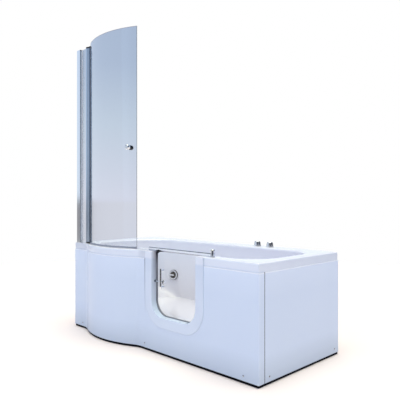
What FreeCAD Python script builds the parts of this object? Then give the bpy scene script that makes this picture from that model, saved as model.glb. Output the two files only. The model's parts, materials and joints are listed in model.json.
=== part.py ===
"""Walk-in shower bath with a bowed front, an inward door and a curved swinging screen.

Frame: +X runs along the bath from the screen end to the plain end, +Y from the door to the back
wall, +Z up. The origin is on the floor, under the middle of the overall box. Lengths are in mm.
"""
import FreeCAD
import Part
import math
import os

# Overall sizes
LENGTH = 1670.0
WIDTH = 750.0
RIM_Z = 600.0
BOW_OUT = 75.0
BOW_FROM_LEFT = 445.0
BOW_R = 600.0
BOW_FILLET_R = 150.0
OVERRUN = 5.0
SEAT_GAP = 0.1
MOVE_GAP = 0.4
RUN_GAP = 0.05
SAME_PLACE = 0.001
CORNER_MIN_R = 0.5

# Moulded tub shell
SHELL_T = 7.0
RIM_T = 6.0
RIM_EDGE_R = 9.0
FASCIA_H = 46.0
FASCIA_T = 5.0
FASCIA_INSET = 3.0
WALL_CORNER_R = 6.5
BASIN_FLOOR_Z = 178.0
LIP_R = 14.0
MOUTH_LEFT_RIM = 112.0
MOUTH_RIGHT_RIM = 82.0
MOUTH_BACK_RIM = 104.0
MOUTH_FRONT_RIM = 85.0
MOUTH_RADII = (150.0, 190.0, 190.0, 260.0)
FLOOR_LEFT_IN = 370.0
FLOOR_RIGHT_IN = 355.0
FLOOR_BACK_IN = 125.0
FLOOR_FRONT_IN = 135.0
FLOOR_RADII = (120.0, 150.0, 150.0, 110.0)
# Pairs of (share of the basin's depth, share of the way in from mouth to floor outline)
WALL_SHARES = ((0.0, 0.0), (0.3, 0.14), (0.6, 0.34), (0.8, 0.54), (0.92, 0.75), (0.98, 0.93), (1.0, 1.0))

# Door opening and its moulded frame
DOOR_FROM_RIGHT = 616.0
OPENING_W = 371.0
OPENING_BOTTOM_Z = 219.0
OPENING_R = 95.0
BAND_W = 57.0
BAND_T = 9.0
BAND_PROUD = 5.0
BAND_LAP = 4.0
BAND_EDGE_R = 3.5
SEAT_DEPTH = 41.0
POCKET_LEFT_W = 89.0
POCKET_RIGHT_W = 92.0
POCKET_LEDGE_H = 6.0
POCKET_R = 60.0

# Panels and floor strips
PANEL_T = 4.0
PANEL_BOTTOM_Z = 15.0
PANEL_TOP_GAP = 0.6
PANEL_CORNER_R = 6.0
PANEL_RETURN = 44.0
PANEL_JOINT = 5.0
JOINT_STRIP_IN = 1.0
PANEL_EDGE = 2.5
PANEL_FLANGE_W = 16.0
PANEL_LIP_IN = 10.0
PANEL_LIP_H = 24.0
NOTCH_GAP = 1.5
PLINTH_INSET = 5.0
PLINTH_T = 6.0
PLINTH_BOTTOM_Z = 1.0
PANEL_RAIL_T = 3.0
PANEL_RAIL_W = 46.0
PANEL_RAIL_BOTTOM_Z = 27.0
PANEL_RAIL_END_GAP = 22.0
SCREW_Z = 39.0
SCREW_R = 2.2
SCREW_CAP_R = 5.5
SCREW_CAP_H = 2.6
SCREW_FROM_LEFT = 102.0
SCREW_FROM_BOW = 27.0
SCREW_FROM_RIGHT = 97.0
SCREW_END_FRONT = 85.0
SCREW_END_BACK = 42.0

# Base board, rails, posts and feet
BOARD_T = 15.0
BOARD_IN = 10.0
TUBE_W = 30.0
TUBE_T = 2.0
LONG_RAIL_FRONT_IN = 207.0
LONG_RAIL_BACK_IN = 202.0
LONG_RAIL_LEFT_GAP = 40.0
LONG_RAIL_RIGHT_GAP = 20.0
CROSS_FRONT_GAP = 18.0
CROSS_BACK_GAP = 0.5
CROSS_LEFT = 195.0
CROSS_MID = 705.0
CROSS_RIGHT = 235.0
POST_W = 20.0
FOOT_R = 25.0
FOOT_NECK_R = 14.0
FOOT_H = 16.0
FOOT_RIM_H = 6.0
FOOT_SOCKET_H = 8.0
FOOT_FROM_END = 70.0
STUD_R = 6.0
STUD_IN_RAIL = 18.0
NUT_R = 11.0
NUT_H = 10.0

# Door
DOOR_OVERLAP = 30.0
DOOR_GLASS_T = 8.0
DOOR_SEAL_T = 3.6
SEAL_LIP_T = 3.0
SEAL_LIP_DEEP = 9.0
SEAL_FACE_W = 18.0
DOOR_RAIL_LEFT_W = 82.0
DOOR_RAIL_T = 14.8
DOOR_RAIL_H = 22.0
DOOR_RAIL_DROP = 4.0
DOOR_RAIL_GRIP = 12.0
DOOR_RAIL_EDGE_R = 4.0
HINGE_FROM_OPENING = 72.0
HINGE_BEHIND_SEAT = 15.0
HINGE_PIN_R = 6.0
HINGE_BARREL_R = 12.0
HINGE_CAP_R = 13.0
HINGE_CAP_H = 20.0
HINGE_CAP_EDGE_R = 6.0
HINGE_PIN_IN_CAP = 10.0
HINGE_LEAF_T = 4.0
HINGE_LEAF_H = 46.0
HINGE_LEAF_W = 38.0
HINGE_CLAMP_REACH = 84.0
HINGE_LOW_Z = 252.0
HINGE_HIGH_Z = 490.0
HINGE_PIN_SPARE = 12.0
LATCH_FROM_OPENING = 52.0
LATCH_W = 11.0
LATCH_T = 11.0
LATCH_BOTTOM_Z = 378.0
LATCH_H = 119.0
LATCH_EDGE_R = 4.0
LATCH_STANDOFF = 20.0
LATCH_FOOT_R = 6.0
BOLT_Z = 421.0
BOLT_R = 4.0
BOLT_TIP_GAP = 8.0
BOLT_KNOB_R = 12.0
BOLT_KNOB_T = 11.0
BOLT_KNOB_REACH = 36.0
BOLT_KNOB_EDGE_R = 3.0
KEEPER_R = 5.5
KEEPER_FLANGE_R = 6.8
KEEPER_FLANGE_T = 2.0
KEEPER_BORE_GAP = 0.5

# Screen
POST_TOP_Z = 1982.0
SCREEN_RISE = 16.0
SCREEN_INSET = 43.0
SCREEN_FROM_LEFT = 410.0
SCREEN_GLASS_T = 6.0
SCREEN_ARC = 537.0
SCREEN_SEAL_H = 10.0
SCREEN_SEAL_GRIP = 5.0
SCREEN_SEAL_T = 9.0
PIVOT_FROM_LEFT = 160.0
HINGE_TUBE_R = 9.5
HINGE_TUBE_BORE_R = 5.2
TUBE_SLOT_FROM = 6.4
GLASS_FROM = 7.4
GASKET_T = 1.2
GASKET_TO = 11.0
PIVOT_PIN_R = 3.5
PIVOT_PIN_H = 16.0
PIVOT_CAP_H = 10.0
PIVOT_CAP_GAP = 0.5
PIVOT_ARM_W = 12.0
PIVOT_SPIGOT_H = 14.0
BUSH_H = 22.0
PROFILE_DEEP = 26.0
PROFILE_T = 2.0
WALL_PROFILE_W = 41.0
SLIDE_FOOT_FROM = 8.0
SLIDE_PROUD = 3.0
INFILL_T = 6.0
INFILL_BEHIND = 6.0
INFILL_GRIP = 8.0
HINGE_POST_W = 30.0
HINGE_POST_FLAT_W = 12.0
HINGE_POST_SLOPE_IN = 8.5
POST_TUBE_GAP = 1.0
WALL_HOLE_R = 2.75
WALL_HOLE_FROM_END = 150.0
KNOB_ABOVE_RIM = 636.0
KNOB_FROM_EDGE = 54.0
KNOB_R = 15.0
KNOB_NECK_R = 8.0
KNOB_NECK_H = 10.0
KNOB_H = 31.0
KNOB_EDGE_R = 5.0
KNOB_STUD_R = 3.0

# Deck valves and filler
VALVE_FROM_RIGHT = 470.0
VALVE_SPACING = 102.0
VALVE_FROM_BACK = 35.0
HANDLE_R = 22.0
HANDLE_TOP_R = 19.0
HANDLE_H = 26.0
HANDLE_EDGE_R = 4.0
HANDLE_FLUTES = 12
HANDLE_FLUTE_R = 2.4
ROSE_R = 24.0
ROSE_H = 3.0
VALVE_NECK_R = 12.0
VALVE_BODY_R = 15.0
VALVE_BODY_BOTTOM_Z = 510.0
VALVE_TAIL_R = 10.48
VALVE_TAIL_H = 20.0
VALVE_PORT_R = 6.0
STEM_R = 5.0
STEM_H = 26.0
VALVE_NUT_R = 21.0
VALVE_NUT_H = 12.0
PIPE_R = 8.0
PIPE_T = 1.0
PIPE_Z = 545.0
PIPE_BEND_R = 40.0
FILLER_SLANT = 120.0

# Filler and overflow rosette with the waste control
ROSETTE_Z = 335.0
ROSETTE_ROUND_DEG = 12.7
ROSETTE_TURN_DEG = 14.0
ROSETTE_TILT_DEG = 6.0
ROSETTE_R = 38.0
ROSETTE_INNER_R = 27.0
ROSETTE_T = 9.0
ROSETTE_EDGE_R = 3.0
PAD_R = 44.0
PAD_IN = 8.0
PAD_OUT = 16.0
OVERFLOW_NECK_R = 26.0
OVERFLOW_R = 34.0
OVERFLOW_DEEP = 40.0
WASTE_KNOB_R = 20.0
WASTE_KNOB_H = 16.0
WASTE_KNOB_GRIP_W = 9.0
WASTE_KNOB_GRIP_H = 8.0
WASTE_KNOB_STEM_R = 4.0
OVERFLOW_PIPE_R = 16.0
OVERFLOW_PIPE_T = 2.0
OVERFLOW_PIPE_Z = 88.0
OVERFLOW_BEND_R = 45.0
CONTROL_TUBE_R = 3.0
CONTROL_TUBE_BESIDE = 29.0
CONTROL_TUBE_BEHIND = 8.0
CONTROL_TUBE_BEND_R = 24.0
CONTROL_TUBE_ENTRY = 25.0
CONTROL_TUBE_Z = 112.0

# Waste
WASTE_FROM_LEFT = 415.0
WASTE_FROM_BACK = 372.0
WASTE_FLANGE_R = 35.0
WASTE_FLANGE_T = 3.0
WASTE_NECK_R = 26.0
WASTE_BORE_R = 22.0
WASTE_SPIDER_H = 8.0
WASTE_SPIDER_W = 8.0
WASTE_HUB_R = 8.0
PLUG_R = 31.0
PLUG_T = 5.0
PLUG_DOME_H = 4.0
PLUG_STEM_R = 4.0
PLUG_STEM_H = 40.0
CUP_R = 31.0
CUP_T = 4.0
CUP_FLANGE_R = 42.0
CUP_FLANGE_T = 6.0
CUP_BOTTOM_Z = 46.0
BOARD_HOLE_GAP = 3.0
OUTLET_R = 21.0
OUTLET_T = 3.0
OUTLET_Z = 72.0
OUTLET_BACK_GAP = 8.0
SPIGOT_R = 20.0
SPIGOT_L = 45.0

# Places worked out from the sizes above
X_LEFT = -(LENGTH + SCREW_CAP_H) / 2
X_RIGHT = X_LEFT + LENGTH
BACK_Y = (WIDTH + BOW_OUT) / 2
FRONT_Y = BACK_Y - WIDTH
BOW_X = X_LEFT + BOW_FROM_LEFT
BOW_Y = FRONT_Y - BOW_OUT + BOW_R
BOW_FILLET_Y = FRONT_Y - BOW_FILLET_R
BOW_FILLET_DX = math.sqrt((BOW_R + BOW_FILLET_R) ** 2 - (BOW_Y - BOW_FILLET_Y) ** 2)
BOW_TURN = math.atan2(BOW_Y - BOW_FILLET_Y, BOW_FILLET_DX)
DOOR_X = X_RIGHT - DOOR_FROM_RIGHT
OPENING_LEFT = DOOR_X - OPENING_W / 2
OPENING_RIGHT = DOOR_X + OPENING_W / 2
SEAT_Y = FRONT_Y + SEAT_DEPTH
BAND_Y = FRONT_Y - BAND_PROUD
FASCIA_Z = RIM_Z - FASCIA_H
PANEL_TOP_Z = FASCIA_Z - PANEL_TOP_GAP
FLOOR_UNDER_Z = BASIN_FLOOR_Z - SHELL_T
BOARD_Z = FLOOR_UNDER_Z - BOARD_T
LONG_RAIL_Z = BOARD_Z - TUBE_W
CROSS_Z = LONG_RAIL_Z - TUBE_W
DOOR_GLASS_Y = SEAT_Y + DOOR_SEAL_T + MOVE_GAP
DOOR_MID_Y = DOOR_GLASS_Y + DOOR_GLASS_T / 2
DOOR_RAIL_Z = RIM_Z - DOOR_RAIL_DROP
DOOR_RAIL_TOP_Z = DOOR_RAIL_Z + DOOR_RAIL_H
HINGE_X = OPENING_RIGHT + HINGE_FROM_OPENING
HINGE_Y = SEAT_Y + HINGE_BEHIND_SEAT
LATCH_X = OPENING_LEFT + LATCH_FROM_OPENING
LATCH_Y = DOOR_GLASS_Y - LATCH_STANDOFF
SCREEN_GLASS_R = BOW_R - SCREEN_INSET
SCREEN_TOP_Z = POST_TOP_Z + SCREEN_RISE
SCREEN_X = X_LEFT + SCREEN_FROM_LEFT
PIVOT_X = X_LEFT + PIVOT_FROM_LEFT
PIVOT_Y = BOW_Y - math.sqrt(SCREEN_GLASS_R ** 2 - (PIVOT_X - SCREEN_X) ** 2)
PIVOT_ANGLE = math.atan2(PIVOT_Y - BOW_Y, PIVOT_X - SCREEN_X)
PROFILE_Y = PIVOT_Y - PROFILE_DEEP / 2
SLIDE_RIGHT = X_LEFT + WALL_PROFILE_W + SLIDE_PROUD
HINGE_POST_RIGHT = PIVOT_X - HINGE_TUBE_R - POST_TUBE_GAP
HINGE_POST_LEFT = HINGE_POST_RIGHT - HINGE_POST_W
INFILL_Y = PIVOT_Y + INFILL_BEHIND
VALVE_Y = BACK_Y - VALVE_FROM_BACK
COLD_X = X_RIGHT - VALVE_FROM_RIGHT
HOT_X = COLD_X - VALVE_SPACING
WASTE_X = X_LEFT + WASTE_FROM_LEFT
WASTE_Y = BACK_Y - WASTE_FROM_BACK
UP = FreeCAD.Vector(0, 0, 1)
ALONG_X = FreeCAD.Vector(1, 0, 0)
ALONG_Y = FreeCAD.Vector(0, 1, 0)


# Drawing helpers

def vec(x, y, z=0.0):
    return FreeCAD.Vector(x, y, z)


def polar(centre, radius, angle):
    return vec(centre.x + radius * math.cos(angle), centre.y + radius * math.sin(angle), centre.z)


def line(start, end):
    return Part.LineSegment(start, end).toShape()


def arc(centre, radius, start_angle, end_angle):
    """Arc in plan, from one angle to the other the short way that the signs give."""
    middle = polar(centre, radius, (start_angle + end_angle) / 2)
    ends = polar(centre, radius, start_angle), polar(centre, radius, end_angle)
    return Part.Arc(ends[0], middle, ends[1]).toShape()


def joined(edges):
    """Closed wire through edges given in order, with straight lines where ends lie apart."""
    ends = [(e.valueAt(e.FirstParameter), e.valueAt(e.LastParameter)) for e in edges]
    chain = []
    for i, edge in enumerate(edges):
        chain.append(edge)
        here, there = ends[i][1], ends[(i + 1) % len(ends)][0]
        if here.distanceToPoint(there) > SAME_PLACE:
            chain.append(line(here, there))
    return Part.Wire(chain)


def prism(wire, direction):
    return Part.Face(wire).extrude(direction)


def raised(wire, z0, z1):
    """Solid between two heights over a plan outline drawn at z = 0."""
    solid = prism(wire, vec(0, 0, z1 - z0))
    solid.translate(vec(0, 0, z0))
    return solid


def box(x0, x1, y0, y1, z0, z1):
    return Part.makeBox(x1 - x0, y1 - y0, z1 - z0, vec(x0, y0, z0))


def rod(start, direction, radius, length):
    return Part.makeCylinder(radius, length, start, direction)


def ring(start, direction, outer, inner, length):
    return rod(start, direction, outer, length).cut(rod(start, direction, inner, length))


def turned(points, start, direction):
    """Solid of revolution; points are (radius, height) along the direction from the start."""
    outline = Part.makePolygon([vec(r, 0, h) for r, h in points] + [vec(points[0][0], 0, points[0][1])])
    solid = Part.Face(outline).revolve(vec(0, 0, 0), UP, 360)
    solid.Placement = FreeCAD.Placement(start, FreeCAD.Rotation(UP, direction))
    return solid


def level_edges(shape, z):
    """Edges that lie wholly at one height."""
    found = []
    for edge in shape.Edges:
        span = edge.BoundBox
        if abs(span.ZMin - z) < SAME_PLACE and abs(span.ZMax - z) < SAME_PLACE:
            found.append(edge)
    return found


def round_edges(shape, direction, place, radius):
    """Shape with the round edges at one place along a direction given a fillet."""
    picked = []
    for edge in shape.Edges:
        is_round = isinstance(edge.Curve, Part.Circle)
        if is_round and abs(edge.Curve.Center.dot(direction) - place) < SAME_PLACE:
            picked.append(edge)
    return shape.makeFillet(radius, picked)


def pipe_path(points, bend_r):
    """Wire of straight runs joined by tangent bends."""
    edges = []
    at = points[0]
    for before, corner, after in zip(points, points[1:], points[2:]):
        into = (corner - before).normalize()
        out = (after - corner).normalize()
        half = into.getAngle(out) / 2
        reach = bend_r * math.tan(half)
        inward = (out - into).normalize() * (bend_r / math.cos(half) - bend_r)
        start = corner - into * reach
        end = corner + out * reach
        edges.append(line(at, start))
        edges.append(Part.Arc(start, corner + inward, end).toShape())
        at = end
    edges.append(line(at, points[-1]))
    return Part.Wire(edges)


def swept(points, bend_r, radius):
    path = pipe_path(points, bend_r)
    profile = Part.Wire(Part.makeCircle(radius, points[0], points[1] - points[0]))
    return path.makePipeShell([profile], True, True)


def group(solids):
    return Part.makeCompound(solids)


# Plan outlines

def front_edges(inset, left_x):
    """Front line with its bow, set in from the front face, as far as the last bend on the right."""
    left = vec(BOW_X - BOW_FILLET_DX, BOW_FILLET_Y)
    right = vec(BOW_X + BOW_FILLET_DX, BOW_FILLET_Y)
    bow = vec(BOW_X, BOW_Y)
    hollow_r = BOW_FILLET_R + inset
    quarter = math.pi / 2
    start = polar(left, hollow_r, quarter)
    return [
        line(vec(left_x, start.y), start),
        arc(left, hollow_r, quarter, BOW_TURN),
        arc(bow, BOW_R - inset, math.pi + BOW_TURN, 2 * math.pi - BOW_TURN),
        arc(right, hollow_r, math.pi - BOW_TURN, quarter),
    ]


def corner_edge(x, y, radius, start_angle):
    """Quarter round whose sharp corner would be at x, y."""
    radius = max(radius, CORNER_MIN_R)
    middle = start_angle + math.pi / 4
    reach = radius * math.sqrt(2)
    centre = vec(x - reach * math.cos(middle), y - reach * math.sin(middle))
    return arc(centre, radius, start_angle, start_angle + math.pi / 2)


def rim_outline(inset, wall_inset):
    """Outer rim, set in by one amount at the front and plain end, by another at the two walls."""
    left, back = X_LEFT + wall_inset, BACK_Y - wall_inset
    right, front = X_RIGHT - inset, FRONT_Y + inset
    wall_r = WALL_CORNER_R - wall_inset
    edges = front_edges(inset, left)
    edges.append(corner_edge(right, front, PANEL_CORNER_R - inset, -math.pi / 2))
    edges.append(corner_edge(right, back, wall_r, 0))
    edges.append(corner_edge(left, back, wall_r, math.pi / 2))
    return joined(edges)


def basin_outline(share, grow, z):
    """Basin outline a share of the way from mouth to floor, grown outwards, at one height."""
    def between(mouth, floor):
        return mouth + (floor - mouth) * share
    left = X_LEFT + between(MOUTH_LEFT_RIM, FLOOR_LEFT_IN) - grow
    right = X_RIGHT - between(MOUTH_RIGHT_RIM, FLOOR_RIGHT_IN) + grow
    back = BACK_Y - between(MOUTH_BACK_RIM, FLOOR_BACK_IN) + grow
    inset = between(MOUTH_FRONT_RIM, FLOOR_FRONT_IN) - grow
    radii = [between(m, f) + grow for m, f in zip(MOUTH_RADII, FLOOR_RADII)]
    bow_r = BOW_R - inset
    bow = vec(BOW_X, BOW_Y)
    hollow = vec(BOW_X + BOW_FILLET_DX, BOW_FILLET_Y)
    corner_x = left + radii[0]
    corner_y = BOW_Y - math.sqrt((bow_r - radii[0]) ** 2 - (corner_x - BOW_X) ** 2)
    touch = math.atan2(corner_y - BOW_Y, corner_x - BOW_X)
    edges = [
        arc(vec(corner_x, corner_y), radii[0], -math.pi, touch),
        arc(bow, bow_r, touch, -BOW_TURN),
        arc(hollow, BOW_FILLET_R + inset, math.pi - BOW_TURN, math.pi / 2),
    ]
    edges.append(corner_edge(right, FRONT_Y + inset, radii[1], -math.pi / 2))
    edges.append(corner_edge(right, back, radii[2], 0))
    edges.append(corner_edge(left, back, radii[3], math.pi / 2))
    wire = joined(edges)
    wire.translate(vec(0, 0, z))
    return wire


def rosette_place():
    """Point on the basin's back corner where its wall faces the rosette's way, and that way."""
    depth_share = (RIM_Z - ROSETTE_Z) / (RIM_Z - BASIN_FLOOR_Z)
    for (d0, s0), (d1, s1) in zip(WALL_SHARES, WALL_SHARES[1:]):
        if d0 <= depth_share <= d1:
            share = s0 + (s1 - s0) * (depth_share - d0) / (d1 - d0)
    radius = MOUTH_RADII[3] + (FLOOR_RADII[3] - MOUTH_RADII[3]) * share
    left = X_LEFT + MOUTH_LEFT_RIM + (FLOOR_LEFT_IN - MOUTH_LEFT_RIM) * share
    back = BACK_Y - MOUTH_BACK_RIM - (FLOOR_BACK_IN - MOUTH_BACK_RIM) * share
    corner = vec(left + radius, back - radius, ROSETTE_Z)
    place = polar(corner, radius, math.pi / 2 + math.radians(ROSETTE_ROUND_DEG))
    turn = math.radians(ROSETTE_TURN_DEG)
    tilt = math.radians(ROSETTE_TILT_DEG)
    level = vec(math.sin(turn), -math.cos(turn))
    return place, level * math.cos(tilt) + UP * math.sin(tilt)


ROSETTE_AT, ROSETTE_FACING = rosette_place()


def u_outline(grow, top_z, y):
    """Door opening's U, grown outwards, standing in the plane at one y."""
    left, right = OPENING_LEFT - grow, OPENING_RIGHT + grow
    bottom = OPENING_BOTTOM_Z - grow
    radius = OPENING_R + grow
    edges = [
        arc(vec(left + radius, bottom + radius), radius, -math.pi, -math.pi / 2),
        arc(vec(right - radius, bottom + radius), radius, -math.pi / 2, 0),
        line(vec(right, top_z), vec(left, top_z)),
    ]
    wire = joined(edges)
    wire.rotate(vec(0, 0, 0), ALONG_X, 90)
    wire.translate(vec(0, y, 0))
    return wire


def u_block(grow, top_z, y0, y1):
    return prism(u_outline(grow, top_z, y0), vec(0, y1 - y0, 0))


def pocket_block(grow, y0, y1, top_z):
    """Recess that the door leaf lies in, with its rounded lower corners."""
    left, right = OPENING_LEFT - POCKET_LEFT_W - grow, OPENING_RIGHT + POCKET_RIGHT_W + grow
    bottom = BASIN_FLOOR_Z + POCKET_LEDGE_H - grow
    radius = POCKET_R + grow
    edges = [
        arc(vec(left + radius, bottom + radius), radius, -math.pi, -math.pi / 2),
        arc(vec(right - radius, bottom + radius), radius, -math.pi / 2, 0),
        line(vec(right, top_z), vec(left, top_z)),
    ]
    wire = joined(edges)
    wire.rotate(vec(0, 0, 0), ALONG_X, 90)
    wire.translate(vec(0, y0, 0))
    return prism(wire, vec(0, y1 - y0, 0))


# Tub shell

def basin_inside():
    wires = [basin_outline(0, 0, RIM_Z + OVERRUN)]
    for depth_share, in_share in WALL_SHARES:
        wires.append(basin_outline(in_share, 0, RIM_Z - (RIM_Z - BASIN_FLOOR_Z) * depth_share))
    return Part.makeLoft(wires, True, False)


def basin_outside():
    top_z = RIM_Z - RIM_T / 2
    wires = []
    for depth_share, in_share in WALL_SHARES:
        wires.append(basin_outline(in_share, SHELL_T, top_z - (top_z - FLOOR_UNDER_Z) * depth_share))
    return Part.makeLoft(wires, True, False)


def rim_cap():
    block = raised(rim_outline(FASCIA_INSET, 0), FASCIA_Z, RIM_Z)
    block = block.makeFillet(RIM_EDGE_R, level_edges(block, RIM_Z))
    inside = rim_outline(FASCIA_INSET + FASCIA_T, FASCIA_T)
    return block.cut(raised(inside, FASCIA_Z - OVERRUN, RIM_Z - RIM_T))


def door_portal():
    """Raised band on the front and the jambs and sill that lead in from it to the door seat."""
    band = u_block(BAND_W, RIM_Z, BAND_Y, BAND_Y + BAND_T)
    lap = u_block(BAND_W + BAND_LAP, RIM_Z, BAND_Y, FRONT_Y - MOVE_GAP)
    walls = u_block(SHELL_T, RIM_Z, BAND_Y, SEAT_Y)
    portal = band.fuse([lap, walls]).cut(u_block(0, RIM_Z + OVERRUN, BAND_Y - OVERRUN, SEAT_Y + OVERRUN))
    portal = portal.removeSplitter()
    rounded = []
    for edge in portal.Edges:
        span = edge.BoundBox
        if abs(span.YMin - BAND_Y) < SAME_PLACE and abs(span.YMax - BAND_Y) < SAME_PLACE:
            if span.ZMin < RIM_Z - SAME_PLACE:
                rounded.append(edge)
    return portal.makeFillet(BAND_EDGE_R, rounded)


def basin_with_rim():
    """Rim and basin in one, with the rim rolled over into the basin."""
    shell = rim_cap().fuse(basin_outside()).cut(basin_inside())
    mouth = basin_outline(0, 0, RIM_Z)
    lip = []
    for edge in level_edges(shell, RIM_Z):
        middle = edge.valueAt((edge.FirstParameter + edge.LastParameter) / 2)
        if mouth.distToShape(Part.Vertex(middle))[0] < SEAT_GAP:
            lip.append(edge)
    return shell.makeFillet(LIP_R, lip)


def tub_shell():
    recess_y = FRONT_Y + FLOOR_FRONT_IN
    recess = pocket_block(0, SEAT_Y, recess_y + OVERRUN, RIM_Z + OVERRUN)
    recess_wall = pocket_block(SHELL_T, SEAT_Y - SHELL_T, recess_y, RIM_Z).cut([basin_inside(), recess])
    way_in = u_block(0, RIM_Z + OVERRUN, BAND_Y - OVERRUN, SEAT_Y + OVERRUN)
    pad = rod(ROSETTE_AT + ROSETTE_FACING * PAD_IN, -ROSETTE_FACING, PAD_R, PAD_IN + PAD_OUT)
    shell = basin_with_rim().cut(recess).fuse(recess_wall).cut(way_in).fuse([door_portal(), pad])
    keyhole = rod(vec(OPENING_LEFT + OVERRUN, LATCH_Y, BOLT_Z), -ALONG_X, KEEPER_R + SEAT_GAP,
                  OVERRUN + 2 * SHELL_T)
    pad_bore = rod(ROSETTE_AT + ROSETTE_FACING * (PAD_IN + OVERRUN), -ROSETTE_FACING,
                   OVERFLOW_NECK_R + SEAT_GAP, PAD_IN + PAD_OUT + 2 * OVERRUN)
    waste_hole = rod(vec(WASTE_X, WASTE_Y, FLOOR_UNDER_Z - OVERRUN), UP, WASTE_NECK_R + SEAT_GAP,
                     SHELL_T + 2 * OVERRUN)
    holes = [keyhole, pad_bore, waste_hole]
    deck_z = RIM_Z - RIM_T - OVERRUN
    for x in (HOT_X, COLD_X):
        holes.append(rod(vec(x, VALVE_Y, deck_z), UP, VALVE_NECK_R + SEAT_GAP, RIM_T + 2 * OVERRUN))
    return shell.cut(holes).removeSplitter()


# Panels, floor strips and the rails that carry them

def front_region(inset, overrun):
    """Plan area behind the front line, back to the end of the corner return."""
    right, front = X_RIGHT - inset, FRONT_Y + inset
    left, back = X_LEFT - overrun, FRONT_Y + PANEL_RETURN + overrun
    edges = front_edges(inset, left)
    edges.append(corner_edge(right, front, PANEL_CORNER_R - inset, -math.pi / 2))
    edges.append(line(vec(right, back), vec(left, back)))
    return joined(edges)


def front_face_line():
    """Front line and the return round the near corner, on the panel's outer face."""
    edges = front_edges(0, X_LEFT)
    edges.append(corner_edge(X_RIGHT, FRONT_Y, PANEL_CORNER_R, -math.pi / 2))
    edges.append(line(vec(X_RIGHT, FRONT_Y + PANEL_CORNER_R), vec(X_RIGHT, FRONT_Y + PANEL_RETURN)))
    return Part.makeCompound(edges)


def front_strip(inset, thickness, z0, z1):
    """Wall along the front, with its return round the near corner."""
    outer = raised(front_region(inset, 0), z0, z1)
    return outer.cut(raised(front_region(inset + thickness, OVERRUN), z0 - OVERRUN, z1 + OVERRUN))


def screw_places():
    """Start point and inward direction of each panel screw."""
    bow_end = BOW_X + BOW_FILLET_DX
    front_x = (X_LEFT + SCREW_FROM_LEFT, bow_end + SCREW_FROM_BOW, X_RIGHT - SCREW_FROM_RIGHT)
    places = [(vec(x, FRONT_Y, SCREW_Z), ALONG_Y) for x in front_x]
    for y in (FRONT_Y + SCREW_END_FRONT, BACK_Y - SCREW_END_BACK):
        places.append((vec(X_RIGHT, y, SCREW_Z), -ALONG_X))
    return places


def screw_holes():
    length = PANEL_T + PANEL_RAIL_T + 2 * OVERRUN
    return [rod(at - inward * OVERRUN, inward, SCREW_R + SEAT_GAP, length) for at, inward in screw_places()]


def eased(wall, outer):
    """Panel with the outer edge of its top taken off."""
    edges = []
    for edge in level_edges(wall, PANEL_TOP_Z):
        middle = edge.valueAt((edge.FirstParameter + edge.LastParameter) / 2)
        if outer.distToShape(Part.Vertex(vec(middle.x, middle.y)))[0] < SEAT_GAP:
            edges.append(edge)
    return wall.makeChamfer(PANEL_EDGE, edges)


def front_panel():
    wall = front_strip(0, PANEL_T, PANEL_BOTTOM_Z, PANEL_TOP_Z)
    wall = wall.fuse(front_strip(0, PANEL_FLANGE_W, PANEL_BOTTOM_Z, PANEL_BOTTOM_Z + PANEL_T))
    wall = wall.fuse(front_strip(0, PANEL_FLANGE_W, PANEL_TOP_Z - PANEL_T, PANEL_TOP_Z))
    wall = eased(wall.removeSplitter(), front_face_line())
    lip = front_strip(PANEL_LIP_IN, PANEL_T, PANEL_TOP_Z - PANEL_T, PANEL_TOP_Z + PANEL_LIP_H)
    lip_left = X_LEFT + FASCIA_T + PANEL_TOP_GAP
    wall = wall.fuse(lip.cut(box(X_LEFT - OVERRUN, lip_left, FRONT_Y, SEAT_Y, PANEL_TOP_Z, RIM_Z)))
    notch = u_block(BAND_W + NOTCH_GAP, RIM_Z, FRONT_Y - BOW_OUT, SEAT_Y)
    return wall.cut([notch] + screw_holes()).removeSplitter()


def end_panel():
    y0, y1 = FRONT_Y + PANEL_RETURN + PANEL_JOINT, BACK_Y
    flange_x = X_RIGHT - PANEL_FLANGE_W
    lip_x = X_RIGHT - PANEL_LIP_IN
    wall = box(X_RIGHT - PANEL_T, X_RIGHT, y0, y1, PANEL_BOTTOM_Z, PANEL_TOP_Z)
    wall = wall.fuse(box(flange_x, X_RIGHT, y0, y1, PANEL_BOTTOM_Z, PANEL_BOTTOM_Z + PANEL_T))
    wall = wall.fuse(box(flange_x, X_RIGHT, y0, y1, PANEL_TOP_Z - PANEL_T, PANEL_TOP_Z))
    wall = wall.fuse(box(flange_x, X_RIGHT, y0, y0 + PANEL_T, PANEL_BOTTOM_Z, PANEL_TOP_Z))
    wall = eased(wall.removeSplitter(), line(vec(X_RIGHT, y0), vec(X_RIGHT, y1)))
    lip_back = BACK_Y - FASCIA_T - PANEL_LIP_IN
    lip_z0, lip_z1 = PANEL_TOP_Z - PANEL_T, PANEL_TOP_Z + PANEL_LIP_H
    wall = wall.fuse(box(lip_x - PANEL_T, lip_x, y0, lip_back, lip_z0, lip_z1))
    return wall.cut(screw_holes()).removeSplitter()


def joint_strip():
    """Rubber bead that fills the upright joint between the two panels."""
    y0 = FRONT_Y + PANEL_RETURN + SEAT_GAP
    y1 = FRONT_Y + PANEL_RETURN + PANEL_JOINT - SEAT_GAP
    return box(X_RIGHT - PANEL_FLANGE_W, X_RIGHT - JOINT_STRIP_IN, y0, y1, PANEL_BOTTOM_Z, PANEL_TOP_Z)


def plinth_front():
    return front_strip(PLINTH_INSET, PLINTH_T, PLINTH_BOTTOM_Z, PANEL_BOTTOM_Z)


def plinth_end():
    x1 = X_RIGHT - PLINTH_INSET
    y0 = FRONT_Y + PANEL_RETURN + PANEL_JOINT
    return box(x1 - PLINTH_T, x1, y0, BACK_Y, PLINTH_BOTTOM_Z, PANEL_BOTTOM_Z)


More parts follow.
